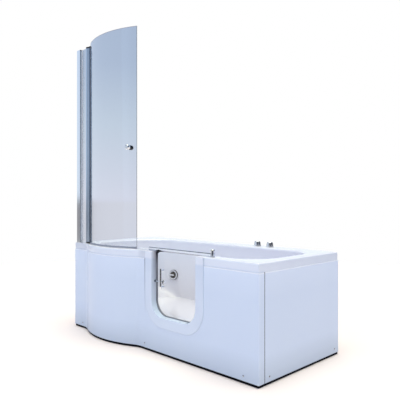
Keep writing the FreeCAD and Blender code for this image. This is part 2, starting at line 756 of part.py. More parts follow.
def panel_rail_front():
    x0, x1 = X_LEFT + PANEL_RAIL_END_GAP, X_RIGHT - PANEL_RAIL_END_GAP
    y0 = FRONT_Y + PANEL_T
    leg = box(x0, x1, y0, y0 + PANEL_RAIL_T, PANEL_RAIL_BOTTOM_Z, CROSS_Z)
    shelf = box(x0, x1, y0, y0 + PANEL_RAIL_W, CROSS_Z - PANEL_RAIL_T, CROSS_Z)
    return leg.fuse(shelf).cut(screw_holes()).removeSplitter()


def panel_rail_end():
    y0, y1 = FRONT_Y + PANEL_RETURN + PANEL_RAIL_END_GAP, BACK_Y - PANEL_RAIL_END_GAP
    x1 = X_RIGHT - PANEL_T
    leg = box(x1 - PANEL_RAIL_T, x1, y0, y1, PANEL_RAIL_BOTTOM_Z, LONG_RAIL_Z)
    shelf = box(x1 - PANEL_RAIL_W, x1, y0, y1, LONG_RAIL_Z - PANEL_RAIL_T, LONG_RAIL_Z)
    return leg.fuse(shelf).cut(screw_holes()).removeSplitter()


def panel_screws():
    screws = []
    for at, inward in screw_places():
        cap = turned(((0, 0), (SCREW_CAP_R, 0), (SCREW_R, SCREW_CAP_H), (0, SCREW_CAP_H)), at, -inward)
        screws.append(cap.fuse(rod(at, inward, SCREW_R, PANEL_T + PANEL_RAIL_T + SCREW_CAP_R)))
    return group(screws)


# Base board, steel frame and feet

def base_board():
    board = prism(basin_outline(1, -BOARD_IN, BOARD_Z), vec(0, 0, BOARD_T))
    return board.cut(rod(vec(WASTE_X, WASTE_Y, BOARD_Z), UP, CUP_FLANGE_R + BOARD_HOLE_GAP, BOARD_T))


def square_tube_x(x0, x1, y, z):
    tube = box(x0, x1, y, y + TUBE_W, z, z + TUBE_W)
    return tube.cut(box(x0, x1, y + TUBE_T, y + TUBE_W - TUBE_T, z + TUBE_T, z + TUBE_W - TUBE_T))


def square_tube_y(y0, y1, x, z):
    tube = box(x, x + TUBE_W, y0, y1, z, z + TUBE_W)
    return tube.cut(box(x + TUBE_T, x + TUBE_W - TUBE_T, y0, y1, z + TUBE_T, z + TUBE_W - TUBE_T))


def cross_places():
    """Middle of each cross rail along X."""
    return (X_LEFT + CROSS_LEFT, X_LEFT + CROSS_MID, X_RIGHT - CROSS_RIGHT)


CROSS_FRONT_Y = FRONT_Y + CROSS_FRONT_GAP
CROSS_BACK_Y = BACK_Y - FASCIA_T - CROSS_BACK_GAP


def long_rails():
    x0, x1 = X_LEFT + CROSS_LEFT - LONG_RAIL_LEFT_GAP, X_RIGHT - LONG_RAIL_RIGHT_GAP
    y_places = (FRONT_Y + LONG_RAIL_FRONT_IN, BACK_Y - LONG_RAIL_BACK_IN)
    return group([square_tube_x(x0, x1, y, LONG_RAIL_Z) for y in y_places])


def cross_rails():
    rails = []
    for x in cross_places():
        rail = square_tube_y(CROSS_FRONT_Y, CROSS_BACK_Y, x - TUBE_W / 2, CROSS_Z)
        for y in foot_rows():
            rail = rail.cut(rod(vec(x, y, CROSS_Z - OVERRUN), UP, STUD_R + SEAT_GAP, TUBE_T + 2 * OVERRUN))
        rails.append(rail)
    return group(rails)


def rim_posts():
    posts = []
    z0, z1 = CROSS_Z + TUBE_W, RIM_Z - RIM_T
    inner = POST_W / 2 - TUBE_T
    for x in cross_places():
        for y in (CROSS_FRONT_Y, CROSS_BACK_Y - POST_W):
            post = box(x - POST_W / 2, x + POST_W / 2, y, y + POST_W, z0, z1)
            hollow = box(x - inner, x + inner, y + TUBE_T, y + POST_W - TUBE_T, z0, z1)
            posts.append(post.cut(hollow))
    return group(posts)


def foot_rows():
    return (CROSS_FRONT_Y + FOOT_FROM_END, CROSS_BACK_Y - FOOT_FROM_END)


def foot_places():
    return [vec(x, y, 0) for x in cross_places() for y in foot_rows()]


def foot_pads():
    profile = ((0, 0), (FOOT_R, 0), (FOOT_R, FOOT_RIM_H), (FOOT_NECK_R, FOOT_H), (STUD_R, FOOT_H),
               (STUD_R, FOOT_SOCKET_H), (0, FOOT_SOCKET_H))
    return group([turned(profile, at, UP) for at in foot_places()])


def foot_studs():
    length = CROSS_Z + STUD_IN_RAIL - FOOT_SOCKET_H
    return group([rod(at + UP * FOOT_SOCKET_H, UP, STUD_R, length) for at in foot_places()])


def hex_nut(at, across_r, bore_r, height):
    corners = [polar(at, across_r, math.radians(60 * i)) for i in range(7)]
    return prism(Part.makePolygon(corners), vec(0, 0, height)).cut(rod(at, UP, bore_r, height))


def lock_nuts():
    drop = UP * (CROSS_Z - NUT_H)
    return group([hex_nut(at + drop, NUT_R, STUD_R, NUT_H) for at in foot_places()])


# Door, its seal, hinge and latch

def door_seal():
    top_z = RIM_Z - RIM_EDGE_R
    outer = u_block(SEAL_FACE_W, top_z, SEAT_Y, SEAT_Y + DOOR_SEAL_T)
    lip = u_block(-SEAT_GAP, top_z, SEAT_Y - SEAL_LIP_DEEP, SEAT_Y + DOOR_SEAL_T)
    y0, y1 = SEAT_Y - SEAL_LIP_DEEP - OVERRUN, SEAT_Y + DOOR_SEAL_T + OVERRUN
    hole = u_block(-SEAT_GAP - SEAL_LIP_T, top_z + OVERRUN, y0, y1)
    return outer.fuse(lip).cut(hole).removeSplitter()


def door_glass():
    top_z = DOOR_RAIL_Z + DOOR_RAIL_GRIP - SEAT_GAP
    return u_block(DOOR_OVERLAP, top_z, DOOR_GLASS_Y, DOOR_GLASS_Y + DOOR_GLASS_T)


def hinge_barrel(radius, z0, z1):
    return rod(vec(HINGE_X, HINGE_Y, z0), UP, radius, z1 - z0)


def hinge_bore(z0, z1):
    return hinge_barrel(HINGE_PIN_R + RUN_GAP, z0, z1)


def door_rail():
    x0 = OPENING_LEFT - DOOR_RAIL_LEFT_W
    y0, y1 = DOOR_MID_Y - DOOR_RAIL_T / 2, DOOR_MID_Y + DOOR_RAIL_T / 2
    bar = box(x0, HINGE_X, y0, y1, DOOR_RAIL_Z, DOOR_RAIL_TOP_Z)
    long_edges = [e for e in bar.Edges if abs(e.BoundBox.XLength - (HINGE_X - x0)) < SAME_PLACE]
    bar = bar.makeFillet(DOOR_RAIL_EDGE_R, long_edges)
    bar = bar.fuse(hinge_barrel(HINGE_CAP_R, DOOR_RAIL_Z, DOOR_RAIL_TOP_Z))
    groove = box(OPENING_LEFT - DOOR_OVERLAP - SEAT_GAP, OPENING_RIGHT + DOOR_OVERLAP + SEAT_GAP,
                 DOOR_GLASS_Y - SEAT_GAP, DOOR_GLASS_Y + DOOR_GLASS_T + SEAT_GAP,
                 DOOR_RAIL_Z - OVERRUN, DOOR_RAIL_Z + DOOR_RAIL_GRIP)
    bore = hinge_bore(DOOR_RAIL_Z - OVERRUN, DOOR_RAIL_TOP_Z + OVERRUN)
    return bar.cut([groove, bore]).removeSplitter()


def door_pivot_cap():
    cap = hinge_barrel(HINGE_CAP_R, DOOR_RAIL_TOP_Z, DOOR_RAIL_TOP_Z + HINGE_CAP_H)
    cap = round_edges(cap, UP, DOOR_RAIL_TOP_Z + HINGE_CAP_H, HINGE_CAP_EDGE_R)
    return cap.cut(hinge_bore(DOOR_RAIL_TOP_Z - OVERRUN, DOOR_RAIL_TOP_Z + HINGE_PIN_IN_CAP))


def door_pivot_rod():
    return hinge_barrel(HINGE_PIN_R, HINGE_LOW_Z - HINGE_PIN_SPARE, DOOR_RAIL_TOP_Z + HINGE_PIN_IN_CAP)


def hinge_spots():
    """Lower and upper z of the fixed half and of the door's half of each hinge."""
    low = (HINGE_LOW_Z, HINGE_LOW_Z + HINGE_LEAF_H)
    above = low[1] + MOVE_GAP
    high = (HINGE_HIGH_Z + HINGE_LEAF_H + MOVE_GAP, HINGE_HIGH_Z + 2 * HINGE_LEAF_H + MOVE_GAP)
    return (low, high), ((above, above + HINGE_LEAF_H), (HINGE_HIGH_Z, HINGE_HIGH_Z + HINGE_LEAF_H))


def door_hinge_brackets():
    halves = []
    for z0, z1 in hinge_spots()[0]:
        x0 = HINGE_X - HINGE_LEAF_W / 2
        leaf = box(x0, x0 + HINGE_LEAF_W, SEAT_Y, SEAT_Y + PANEL_RAIL_T, z0, z1)
        web = box(HINGE_X - HINGE_BARREL_R, HINGE_X + HINGE_BARREL_R, SEAT_Y, HINGE_Y, z0, z1)
        half = leaf.fuse(web).fuse(hinge_barrel(HINGE_BARREL_R, z0, z1))
        halves.append(half.cut(hinge_bore(z0 - OVERRUN, z1 + OVERRUN)).removeSplitter())
    return group(halves)


def door_hinge_clamps():
    clamps = []
    y0 = DOOR_GLASS_Y + DOOR_GLASS_T
    for z0, z1 in hinge_spots()[1]:
        leaf = box(HINGE_X - HINGE_CLAMP_REACH, HINGE_X, y0, y0 + HINGE_LEAF_T, z0, z1)
        clamp = leaf.fuse(hinge_barrel(HINGE_BARREL_R, z0, z1))
        clamps.append(clamp.cut(hinge_bore(z0 - OVERRUN, z1 + OVERRUN)).removeSplitter())
    return group(clamps)


def latch_plate():
    x0, y0 = LATCH_X - LATCH_W / 2, LATCH_Y - LATCH_T / 2
    bar = box(x0, x0 + LATCH_W, y0, y0 + LATCH_T, LATCH_BOTTOM_Z, LATCH_BOTTOM_Z + LATCH_H)
    upright = [e for e in bar.Edges if abs(e.BoundBox.ZLength - LATCH_H) < SAME_PLACE]
    bar = bar.makeFillet(LATCH_EDGE_R, upright)
    for z in (LATCH_BOTTOM_Z + LATCH_W, LATCH_BOTTOM_Z + LATCH_H - LATCH_W):
        bar = bar.fuse(rod(vec(LATCH_X, LATCH_Y, z), ALONG_Y, LATCH_FOOT_R, DOOR_GLASS_Y - LATCH_Y))
    bore = rod(vec(x0 - OVERRUN, LATCH_Y, BOLT_Z), ALONG_X, BOLT_R + RUN_GAP, LATCH_W + 2 * OVERRUN)
    return bar.cut(bore)


def latch_bolt():
    tip_x = OPENING_LEFT + BOLT_TIP_GAP
    knob_x = LATCH_X + BOLT_KNOB_REACH
    shaft = rod(vec(tip_x, LATCH_Y, BOLT_Z), ALONG_X, BOLT_R, knob_x - BOLT_KNOB_T - tip_x)
    knob = rod(vec(knob_x - BOLT_KNOB_T, LATCH_Y, BOLT_Z), ALONG_X, BOLT_KNOB_R, BOLT_KNOB_T)
    knob = round_edges(knob, ALONG_X, knob_x, BOLT_KNOB_EDGE_R)
    return shaft.fuse(knob)


def latch_keeper():
    bore = BOLT_R + KEEPER_BORE_GAP
    sleeve = ring(vec(OPENING_LEFT - SHELL_T, LATCH_Y, BOLT_Z), ALONG_X, KEEPER_R, bore, SHELL_T)
    flange = ring(vec(OPENING_LEFT, LATCH_Y, BOLT_Z), ALONG_X, KEEPER_FLANGE_R, bore, KEEPER_FLANGE_T)
    return sleeve.fuse(flange).removeSplitter()


# Screen

def screen_angle(along):
    """Angle about the screen's centre of a point so far along the glass from the pivot."""
    return PIVOT_ANGLE + along / SCREEN_GLASS_R


def screen_plate(thickness, start, end, z0, z1):
    """Upright plate bent to the screen's curve."""
    centre = vec(SCREEN_X, BOW_Y)
    outer = arc(centre, SCREEN_GLASS_R + thickness / 2, screen_angle(start), screen_angle(end))
    inner = arc(centre, SCREEN_GLASS_R - thickness / 2, screen_angle(end), screen_angle(start))
    return raised(joined([outer, inner]), z0, z1)


SEAL_Z = RIM_Z + MOVE_GAP
GLASS_Z = SEAL_Z + SCREEN_SEAL_H - SCREEN_SEAL_GRIP
TUBE_Z = RIM_Z + PIVOT_CAP_H + PIVOT_CAP_GAP
TUBE_TOP_Z = POST_TOP_Z - PIVOT_CAP_H - PIVOT_CAP_GAP


def knob_line():
    """Point on the glass where its knob sits, and the outward direction there."""
    angle = screen_angle(SCREEN_ARC - KNOB_FROM_EDGE)
    outward = vec(math.cos(angle), math.sin(angle))
    return vec(SCREEN_X, BOW_Y, RIM_Z + KNOB_ABOVE_RIM) + outward * SCREEN_GLASS_R, outward


def screen_glass():
    pane = screen_plate(SCREEN_GLASS_T, GLASS_FROM, SCREEN_ARC, GLASS_Z, SCREEN_TOP_Z)
    at, outward = knob_line()
    wide, end = SCREEN_GLASS_T + OVERRUN, HINGE_TUBE_R + OVERRUN
    over_tube = screen_plate(wide, 0, end, TUBE_TOP_Z, SCREEN_TOP_Z + OVERRUN)
    under_tube = screen_plate(wide, 0, end, GLASS_Z - OVERRUN, TUBE_Z)
    hole = rod(at - outward * SCREEN_GLASS_T, outward, KNOB_STUD_R + SEAT_GAP, 2 * SCREEN_GLASS_T)
    return pane.cut([hole, over_tube, under_tube])


def glass_gasket():
    wide = SCREEN_GLASS_T + 2 * GASKET_T
    strip = screen_plate(wide, TUBE_SLOT_FROM + SEAT_GAP, GASKET_TO, TUBE_Z, TUBE_TOP_Z)
    z0, z1 = TUBE_Z - OVERRUN, TUBE_TOP_Z + OVERRUN
    return strip.cut(screen_plate(SCREEN_GLASS_T, GLASS_FROM, GASKET_TO + OVERRUN, z0, z1))


def hinge_tube():
    tube = ring(vec(PIVOT_X, PIVOT_Y, TUBE_Z), UP, HINGE_TUBE_R, HINGE_TUBE_BORE_R, TUBE_TOP_Z - TUBE_Z)
    wide = SCREEN_GLASS_T + 2 * GASKET_T + 2 * SEAT_GAP
    z0, z1 = TUBE_Z - OVERRUN, TUBE_TOP_Z + OVERRUN
    return tube.cut(screen_plate(wide, TUBE_SLOT_FROM, HINGE_TUBE_R + OVERRUN, z0, z1))


def hinge_bushes():
    starts = (TUBE_Z, TUBE_TOP_Z - BUSH_H)
    inner = PIVOT_PIN_R + RUN_GAP
    outer = HINGE_TUBE_BORE_R - RUN_GAP
    return group([ring(vec(PIVOT_X, PIVOT_Y, z), UP, outer, inner, BUSH_H) for z in starts])


def hinge_post_outline(inside, left_in):
    """Plan of the hinge post, set in all round and by a further amount on the left."""
    left, right = HINGE_POST_LEFT + left_in, HINGE_POST_RIGHT - inside
    front, back = PROFILE_Y + inside, PROFILE_Y + PROFILE_DEEP - inside
    bend = max(left, HINGE_POST_LEFT + HINGE_POST_FLAT_W)
    points = [(left, front), (bend, front), (right, front + HINGE_POST_SLOPE_IN), (right, back), (left, back),
              (left, front)]
    return Part.makePolygon([vec(x, y) for x, y in points])


def pivot_cap(z0, pin_z, spigot_z):
    """End cap over hinge post and tube, with its pin into the bush and its spigot into the post."""
    z1 = z0 + PIVOT_CAP_H
    cap = raised(hinge_post_outline(0, 0), z0, z1)
    arm_y = PIVOT_Y - PIVOT_ARM_W / 2
    cap = cap.fuse(box(HINGE_POST_RIGHT - OVERRUN, PIVOT_X, arm_y, arm_y + PIVOT_ARM_W, z0, z1))
    cap = cap.fuse(rod(vec(PIVOT_X, PIVOT_Y, z0), UP, HINGE_TUBE_R, PIVOT_CAP_H))
    pin = rod(vec(PIVOT_X, PIVOT_Y, pin_z), UP, PIVOT_PIN_R, PIVOT_PIN_H + PIVOT_CAP_GAP)
    inside = PROFILE_T + SEAT_GAP
    spigot = raised(hinge_post_outline(inside, INFILL_GRIP + inside), spigot_z, spigot_z + PIVOT_SPIGOT_H)
    return cap.fuse([pin, spigot]).removeSplitter()


def pivot_cap_bottom():
    z1 = RIM_Z + PIVOT_CAP_H
    return pivot_cap(RIM_Z, z1, z1)


def pivot_cap_top():
    z0 = POST_TOP_Z - PIVOT_CAP_H
    return pivot_cap(z0, z0 - PIVOT_PIN_H - PIVOT_CAP_GAP, z0 - PIVOT_SPIGOT_H)


def wall_profile():
    """Channel fixed to the wall, open towards the screen."""
    x1 = X_LEFT + WALL_PROFILE_W
    channel = box(X_LEFT, x1, PROFILE_Y, PROFILE_Y + PROFILE_DEEP, RIM_Z, POST_TOP_Z)
    hollow = box(X_LEFT + PROFILE_T, x1 + OVERRUN,
                 PROFILE_Y + PROFILE_T, PROFILE_Y + PROFILE_DEEP - PROFILE_T,
                 RIM_Z - OVERRUN, POST_TOP_Z + OVERRUN)
    holes = []
    for z in (RIM_Z + WALL_HOLE_FROM_END, POST_TOP_Z - WALL_HOLE_FROM_END):
        holes.append(rod(vec(X_LEFT - OVERRUN, PIVOT_Y, z), ALONG_X, WALL_HOLE_R, PROFILE_T + 2 * OVERRUN))
    return channel.cut([hollow] + holes)


def infill_slot(x0, x1):
    """Groove that takes an upright edge of the infill glass."""
    half = INFILL_T / 2 + SEAT_GAP
    return box(x0, x1, INFILL_Y - half, INFILL_Y + half, RIM_Z - OVERRUN, POST_TOP_Z + OVERRUN)


def adjusting_profile():
    """Section that slides in the wall channel and grips the infill glass."""
    inside = PROFILE_T + SEAT_GAP
    y0, y1 = PROFILE_Y + inside, PROFILE_Y + PROFILE_DEEP - inside
    foot_x0 = X_LEFT + SLIDE_FOOT_FROM
    slide = box(foot_x0, SLIDE_RIGHT, y0, y1, RIM_Z, POST_TOP_Z)
    hollow = box(foot_x0 - OVERRUN, SLIDE_RIGHT - INFILL_GRIP - PROFILE_T, y0 + PROFILE_T, y1 - PROFILE_T,
                 RIM_Z - OVERRUN, POST_TOP_Z + OVERRUN)
    return slide.cut([hollow, infill_slot(SLIDE_RIGHT - INFILL_GRIP, SLIDE_RIGHT + OVERRUN)])


def infill_glass():
    """Narrow fixed pane between the adjusting profile and the hinge post."""
    x0 = SLIDE_RIGHT - INFILL_GRIP + SEAT_GAP
    x1 = HINGE_POST_LEFT + INFILL_GRIP - SEAT_GAP
    return box(x0, x1, INFILL_Y - INFILL_T / 2, INFILL_Y + INFILL_T / 2, RIM_Z, POST_TOP_Z).cut(
        [box(HINGE_POST_LEFT - SEAT_GAP, x1 + OVERRUN, PROFILE_Y, PROFILE_Y + PROFILE_DEEP, z - SEAT_GAP,
             z + PIVOT_CAP_H + SEAT_GAP) for z in (RIM_Z, POST_TOP_Z - PIVOT_CAP_H)])


def hinge_post():
    z0, z1 = RIM_Z + PIVOT_CAP_H, POST_TOP_Z - PIVOT_CAP_H
    post = raised(hinge_post_outline(0, 0), z0, z1)
    hollow = raised(hinge_post_outline(PROFILE_T, INFILL_GRIP + PROFILE_T), z0 - OVERRUN, z1 + OVERRUN)
    return post.cut([hollow, infill_slot(HINGE_POST_LEFT - OVERRUN, HINGE_POST_LEFT + INFILL_GRIP)])


def screen_seal():
    strip = screen_plate(SCREEN_SEAL_T, HINGE_TUBE_R + OVERRUN, SCREEN_ARC, SEAL_Z, SEAL_Z + SCREEN_SEAL_H)
    return strip.cut(screen_plate(SCREEN_GLASS_T, GLASS_FROM, SCREEN_ARC + OVERRUN, GLASS_Z, SCREEN_TOP_Z))


def pull_knob(at, outward):
    base = at + outward * (SCREEN_GLASS_T / 2 + SEAT_GAP)
    head = rod(base + outward * KNOB_NECK_H, outward, KNOB_R, KNOB_H - KNOB_NECK_H)
    head = round_edges(head, outward, (base + outward * KNOB_H).dot(outward), KNOB_EDGE_R)
    knob = rod(base, outward, KNOB_NECK_R, KNOB_NECK_H).fuse(head)
    return knob.cut(rod(base, outward, KNOB_STUD_R, KNOB_NECK_H))


def screen_knob_outer():
    at, outward = knob_line()
    return pull_knob(at, outward)


def screen_knob_inner():
    at, outward = knob_line()
    return pull_knob(at, -outward)


def knob_stud():
    at, outward = knob_line()
    half = SCREEN_GLASS_T / 2 + KNOB_NECK_H
    return rod(at - outward * half, outward, KNOB_STUD_R, 2 * half)


# Deck valves and the pipe to the filler

def valve(x):
    """Valve body hanging under the rim, with its rose on top and its threaded inlet tail."""
    def at(z):
        return vec(x, VALVE_Y, z)
    rim_under = RIM_Z - RIM_T
    body = rod(at(VALVE_BODY_BOTTOM_Z), UP, VALVE_BODY_R, rim_under - VALVE_NUT_H - VALVE_BODY_BOTTOM_Z)
    body = body.fuse(rod(at(rim_under - VALVE_NUT_H), UP, VALVE_NECK_R, VALVE_NUT_H + RIM_T))
    body = body.fuse(rod(at(RIM_Z), UP, ROSE_R, ROSE_H))
    body = body.fuse(rod(at(VALVE_BODY_BOTTOM_Z - VALVE_TAIL_H), UP, VALVE_TAIL_R, VALVE_TAIL_H))
    stem_hole = rod(at(RIM_Z + ROSE_H - STEM_H - MOVE_GAP), UP, STEM_R + RUN_GAP, STEM_H + OVERRUN)
    tail_z = VALVE_BODY_BOTTOM_Z - VALVE_TAIL_H
    inlet = rod(at(tail_z), UP, VALVE_PORT_R, PIPE_Z - tail_z)
    return body.cut([stem_hole, inlet]).removeSplitter()


def valve_handle(x):
    base = vec(x, VALVE_Y, RIM_Z + ROSE_H + MOVE_GAP)
    knob = turned(((0, 0), (HANDLE_R, 0), (HANDLE_TOP_R, HANDLE_H), (0, HANDLE_H)), base, UP)
    knob = round_edges(knob, UP, base.z + HANDLE_H, HANDLE_EDGE_R)
    flutes = []
    for i in range(HANDLE_FLUTES):
        foot = polar(base, HANDLE_R + HANDLE_FLUTE_R / 2, 2 * math.pi * i / HANDLE_FLUTES)
        flutes.append(rod(foot, UP, HANDLE_FLUTE_R, HANDLE_H))
    knob = knob.cut(flutes)
    return knob.fuse(rod(base - UP * STEM_H, UP, STEM_R, STEM_H))


def hot_valve():
    return valve(HOT_X)


def cold_valve():
    return valve(COLD_X)


def hot_handle():
    return valve_handle(HOT_X)


def cold_handle():
    return valve_handle(COLD_X)


def valve_nuts():
    z = RIM_Z - RIM_T - VALVE_NUT_H
    places = [vec(x, VALVE_Y, z) for x in (HOT_X, COLD_X)]
    return group([hex_nut(at, VALVE_NUT_R, VALVE_NECK_R, VALVE_NUT_H) for at in places])


def link_pipe():
    start = vec(HOT_X, VALVE_Y, PIPE_Z)
    pipe = ring(start, ALONG_X, PIPE_R, PIPE_R - PIPE_T, VALVE_SPACING)
    return pipe.cut([rod(vec(x, VALVE_Y, 0), UP, VALVE_BODY_R, RIM_Z) for x in (HOT_X, COLD_X)])


def filler_pipe():
    """Pipe from the valves along the back and down into the filler drum."""
    drum = drum_middle()
    points = [vec(HOT_X, VALVE_Y, PIPE_Z), vec(drum.x + FILLER_SLANT, VALVE_Y, PIPE_Z),
              vec(drum.x, drum.y, PIPE_Z), drum]
    pipe = swept(points, PIPE_BEND_R, PIPE_R).cut(swept(points, PIPE_BEND_R, PIPE_R - PIPE_T))
    return pipe.cut([rod(vec(HOT_X, VALVE_Y, 0), UP, VALVE_BODY_R, RIM_Z), drum_outside()])


# Filler and overflow with the waste control

def overflow_body():
    neck = rod(ROSETTE_AT + ROSETTE_FACING * PAD_IN, -ROSETTE_FACING, OVERFLOW_NECK_R, PAD_IN + PAD_OUT)
    drum = rod(ROSETTE_AT - ROSETTE_FACING * PAD_OUT, -ROSETTE_FACING, OVERFLOW_R, OVERFLOW_DEEP)
    stem_hole = rod(ROSETTE_AT + ROSETTE_FACING * (PAD_IN + OVERRUN), -ROSETTE_FACING,
                    WASTE_KNOB_STEM_R + RUN_GAP, PAD_IN + PAD_OUT + 2 * OVERRUN)
    return neck.fuse(drum).cut(stem_hole).removeSplitter()


def rosette():
    base = ROSETTE_AT + ROSETTE_FACING * PAD_IN
    plate = rod(base, ROSETTE_FACING, ROSETTE_R, ROSETTE_T)
    face_at = base.dot(ROSETTE_FACING) + ROSETTE_T
    plate = round_edges(plate, ROSETTE_FACING, face_at, ROSETTE_EDGE_R)
    return plate.cut(rod(base, ROSETTE_FACING, ROSETTE_INNER_R, ROSETTE_T))


def waste_knob():
    base = ROSETTE_AT + ROSETTE_FACING * (PAD_IN + MOVE_GAP)
    knob = rod(base, ROSETTE_FACING, WASTE_KNOB_R, WASTE_KNOB_H)
    face_at = base.dot(ROSETTE_FACING) + WASTE_KNOB_H
    knob = round_edges(knob, ROSETTE_FACING, face_at, ROSETTE_EDGE_R)
    side = ROSETTE_FACING.cross(UP)
    grip = Part.makeBox(2 * WASTE_KNOB_R - 2 * ROSETTE_EDGE_R, WASTE_KNOB_GRIP_W, WASTE_KNOB_GRIP_H,
                        vec(-WASTE_KNOB_R + ROSETTE_EDGE_R, -WASTE_KNOB_GRIP_W / 2, 0))
    turn = FreeCAD.Rotation(side, UP, ROSETTE_FACING, "ZXY")
    grip.Placement = FreeCAD.Placement(base + ROSETTE_FACING * WASTE_KNOB_H, turn)
    stem = rod(base, -ROSETTE_FACING, WASTE_KNOB_STEM_R, PAD_IN + PAD_OUT)
    return knob.fuse([grip, stem]).removeSplitter()


def drum_middle():
    return ROSETTE_AT - ROSETTE_FACING * (PAD_OUT + OVERFLOW_DEEP / 2)


def drum_outside():
    return rod(ROSETTE_AT, -ROSETTE_FACING, OVERFLOW_R, PAD_OUT + OVERFLOW_DEEP)


def trap_cup_outside():
    return rod(vec(WASTE_X, WASTE_Y, 0), UP, CUP_R, FLOOR_UNDER_Z)


def overflow_points():
    top = drum_middle()
    low_z = OVERFLOW_PIPE_Z
    return [top, vec(top.x, top.y, low_z), vec(top.x, WASTE_Y, low_z), vec(WASTE_X, WASTE_Y, low_z)]


def overflow_pipe():
    points = overflow_points()
    pipe = swept(points, OVERFLOW_BEND_R, OVERFLOW_PIPE_R)
    pipe = pipe.cut(swept(points, OVERFLOW_BEND_R, OVERFLOW_PIPE_R - OVERFLOW_PIPE_T))
    return pipe.cut([drum_outside(), trap_cup_outside()])


def control_tube():
    """Stiff tube from the rotary control to the trap, with the push rod of the plug lifter inside."""
    top = drum_middle()
    x, y = top.x + CONTROL_TUBE_BESIDE, top.y + CONTROL_TUBE_BEHIND
    points = [
        vec(x, y, top.z),
        vec(x, y, CONTROL_TUBE_Z),
        vec(x, WASTE_Y + CONTROL_TUBE_ENTRY, CONTROL_TUBE_Z),
        vec(WASTE_X, WASTE_Y, CONTROL_TUBE_Z),
    ]
    return swept(points, CONTROL_TUBE_BEND_R, CONTROL_TUBE_R).cut([drum_outside(), trap_cup_outside()])


# Waste

def waste_flange():
    """Chrome drain ring with the spider that guides the plug's stem."""
    at = vec(WASTE_X, WASTE_Y, FLOOR_UNDER_Z - CUP_FLANGE_T)
    neck_h = SHELL_T + CUP_FLANGE_T
    tube = ring(at, UP, WASTE_NECK_R, WASTE_BORE_R, neck_h)
    lip = turned(((WASTE_BORE_R, neck_h), (WASTE_FLANGE_R, neck_h), (WASTE_NECK_R, neck_h + WASTE_FLANGE_T),
                  (WASTE_BORE_R, neck_h + WASTE_FLANGE_T)), at, UP)
    bars = []
    for angle in (0, 60, 120):
        bar = box(-WASTE_BORE_R, WASTE_BORE_R, -WASTE_SPIDER_W / 2, WASTE_SPIDER_W / 2, 0, WASTE_SPIDER_H)
        bar.rotate(vec(0, 0, 0), UP, angle)
        bar.translate(at)
        bars.append(bar)
    hub = rod(at, UP, WASTE_HUB_R, WASTE_SPIDER_H)
    whole = tube.fuse([lip, hub] + bars)
    stem_hole = rod(at - UP * OVERRUN, UP, PLUG_STEM_R + RUN_GAP, WASTE_SPIDER_H + 2 * OVERRUN)
    return whole.cut(stem_hole).removeSplitter()


def waste_plug():
    seat_z = BASIN_FLOOR_Z + WASTE_FLANGE_T + MOVE_GAP
    at = vec(WASTE_X, WASTE_Y, seat_z)
    top = PLUG_T + PLUG_DOME_H
    profile = ((0, 0), (PLUG_R, 0), (PLUG_R, PLUG_T), (PLUG_R / 2, top), (0, top))
    return turned(profile, at, UP).fuse(rod(at - UP * PLUG_STEM_H, UP, PLUG_STEM_R, PLUG_STEM_H))


def waste_body():
    """Trap cup under the floor, with ports for the overflow pipe and the outlet."""
    at = vec(WASTE_X, WASTE_Y, CUP_BOTTOM_Z)
    top = FLOOR_UNDER_Z - CUP_BOTTOM_Z
    cup = rod(at, UP, CUP_R, top)
    cup = cup.fuse(rod(at + UP * (top - CUP_FLANGE_T), UP, CUP_FLANGE_R, CUP_FLANGE_T))
    inside = rod(at + UP * CUP_T, UP, CUP_R - CUP_T, top)
    reach = CUP_R + OVERRUN
    outlet = rod(vec(WASTE_X, WASTE_Y, OUTLET_Z), ALONG_Y, SPIGOT_R - OUTLET_T, reach)
    inlet = rod(vec(WASTE_X, WASTE_Y, OVERFLOW_PIPE_Z), -ALONG_X, OVERFLOW_PIPE_R - OVERFLOW_PIPE_T, reach)
    return cup.cut([inside, outlet, inlet])


def outlet_pipe():
    start = vec(WASTE_X, WASTE_Y, OUTLET_Z)
    length = BACK_Y - OUTLET_BACK_GAP - WASTE_Y
    pipe = rod(start, ALONG_Y, OUTLET_R, length - SPIGOT_L)
    pipe = pipe.fuse(rod(start + ALONG_Y * (length - SPIGOT_L), ALONG_Y, SPIGOT_R, SPIGOT_L))
    pipe = pipe.cut(rod(start, ALONG_Y, SPIGOT_R - OUTLET_T, length))
    return pipe.cut(trap_cup_outside()).removeSplitter()


PIECES = (
    tub_shell, front_panel, end_panel, plinth_front, plinth_end,
    joint_strip, panel_rail_front, panel_rail_end, panel_screws,
    base_board, long_rails, cross_rails, rim_posts, foot_pads, foot_studs, lock_nuts,
    door_seal, door_glass, door_rail, door_pivot_cap, door_pivot_rod,
    door_hinge_brackets, door_hinge_clamps, latch_plate, latch_bolt, latch_keeper,
    wall_profile, adjusting_profile, infill_glass, hinge_post, pivot_cap_bottom, pivot_cap_top,
    hinge_tube, hinge_bushes, glass_gasket, screen_glass, screen_seal,
    screen_knob_outer, screen_knob_inner, knob_stud,
    hot_valve, cold_valve, valve_nuts, hot_handle, cold_handle, link_pipe, filler_pipe,
    rosette, waste_knob, overflow_body, overflow_pipe, control_tube,
    waste_flange, waste_plug, waste_body, outlet_pipe,
)


def main():
    os.makedirs("parts", exist_ok=True)
    for piece in PIECES:
        shape = piece()
        shape.exportStep(os.path.join("parts", piece.__name__ + ".step"))
        state = "valid" if shape.isValid() else "NOT VALID"
        print(piece.__name__, len(shape.Solids), "solids,", state)


main()
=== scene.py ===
"""Looks of the walk-in shower bath: finishes, small fixings, stage, light and camera.

Everything is in metres in the part's own frame: +X along the bath from the screen end, +Y to the back
wall, +Z up from the floor.
"""
import json
import math

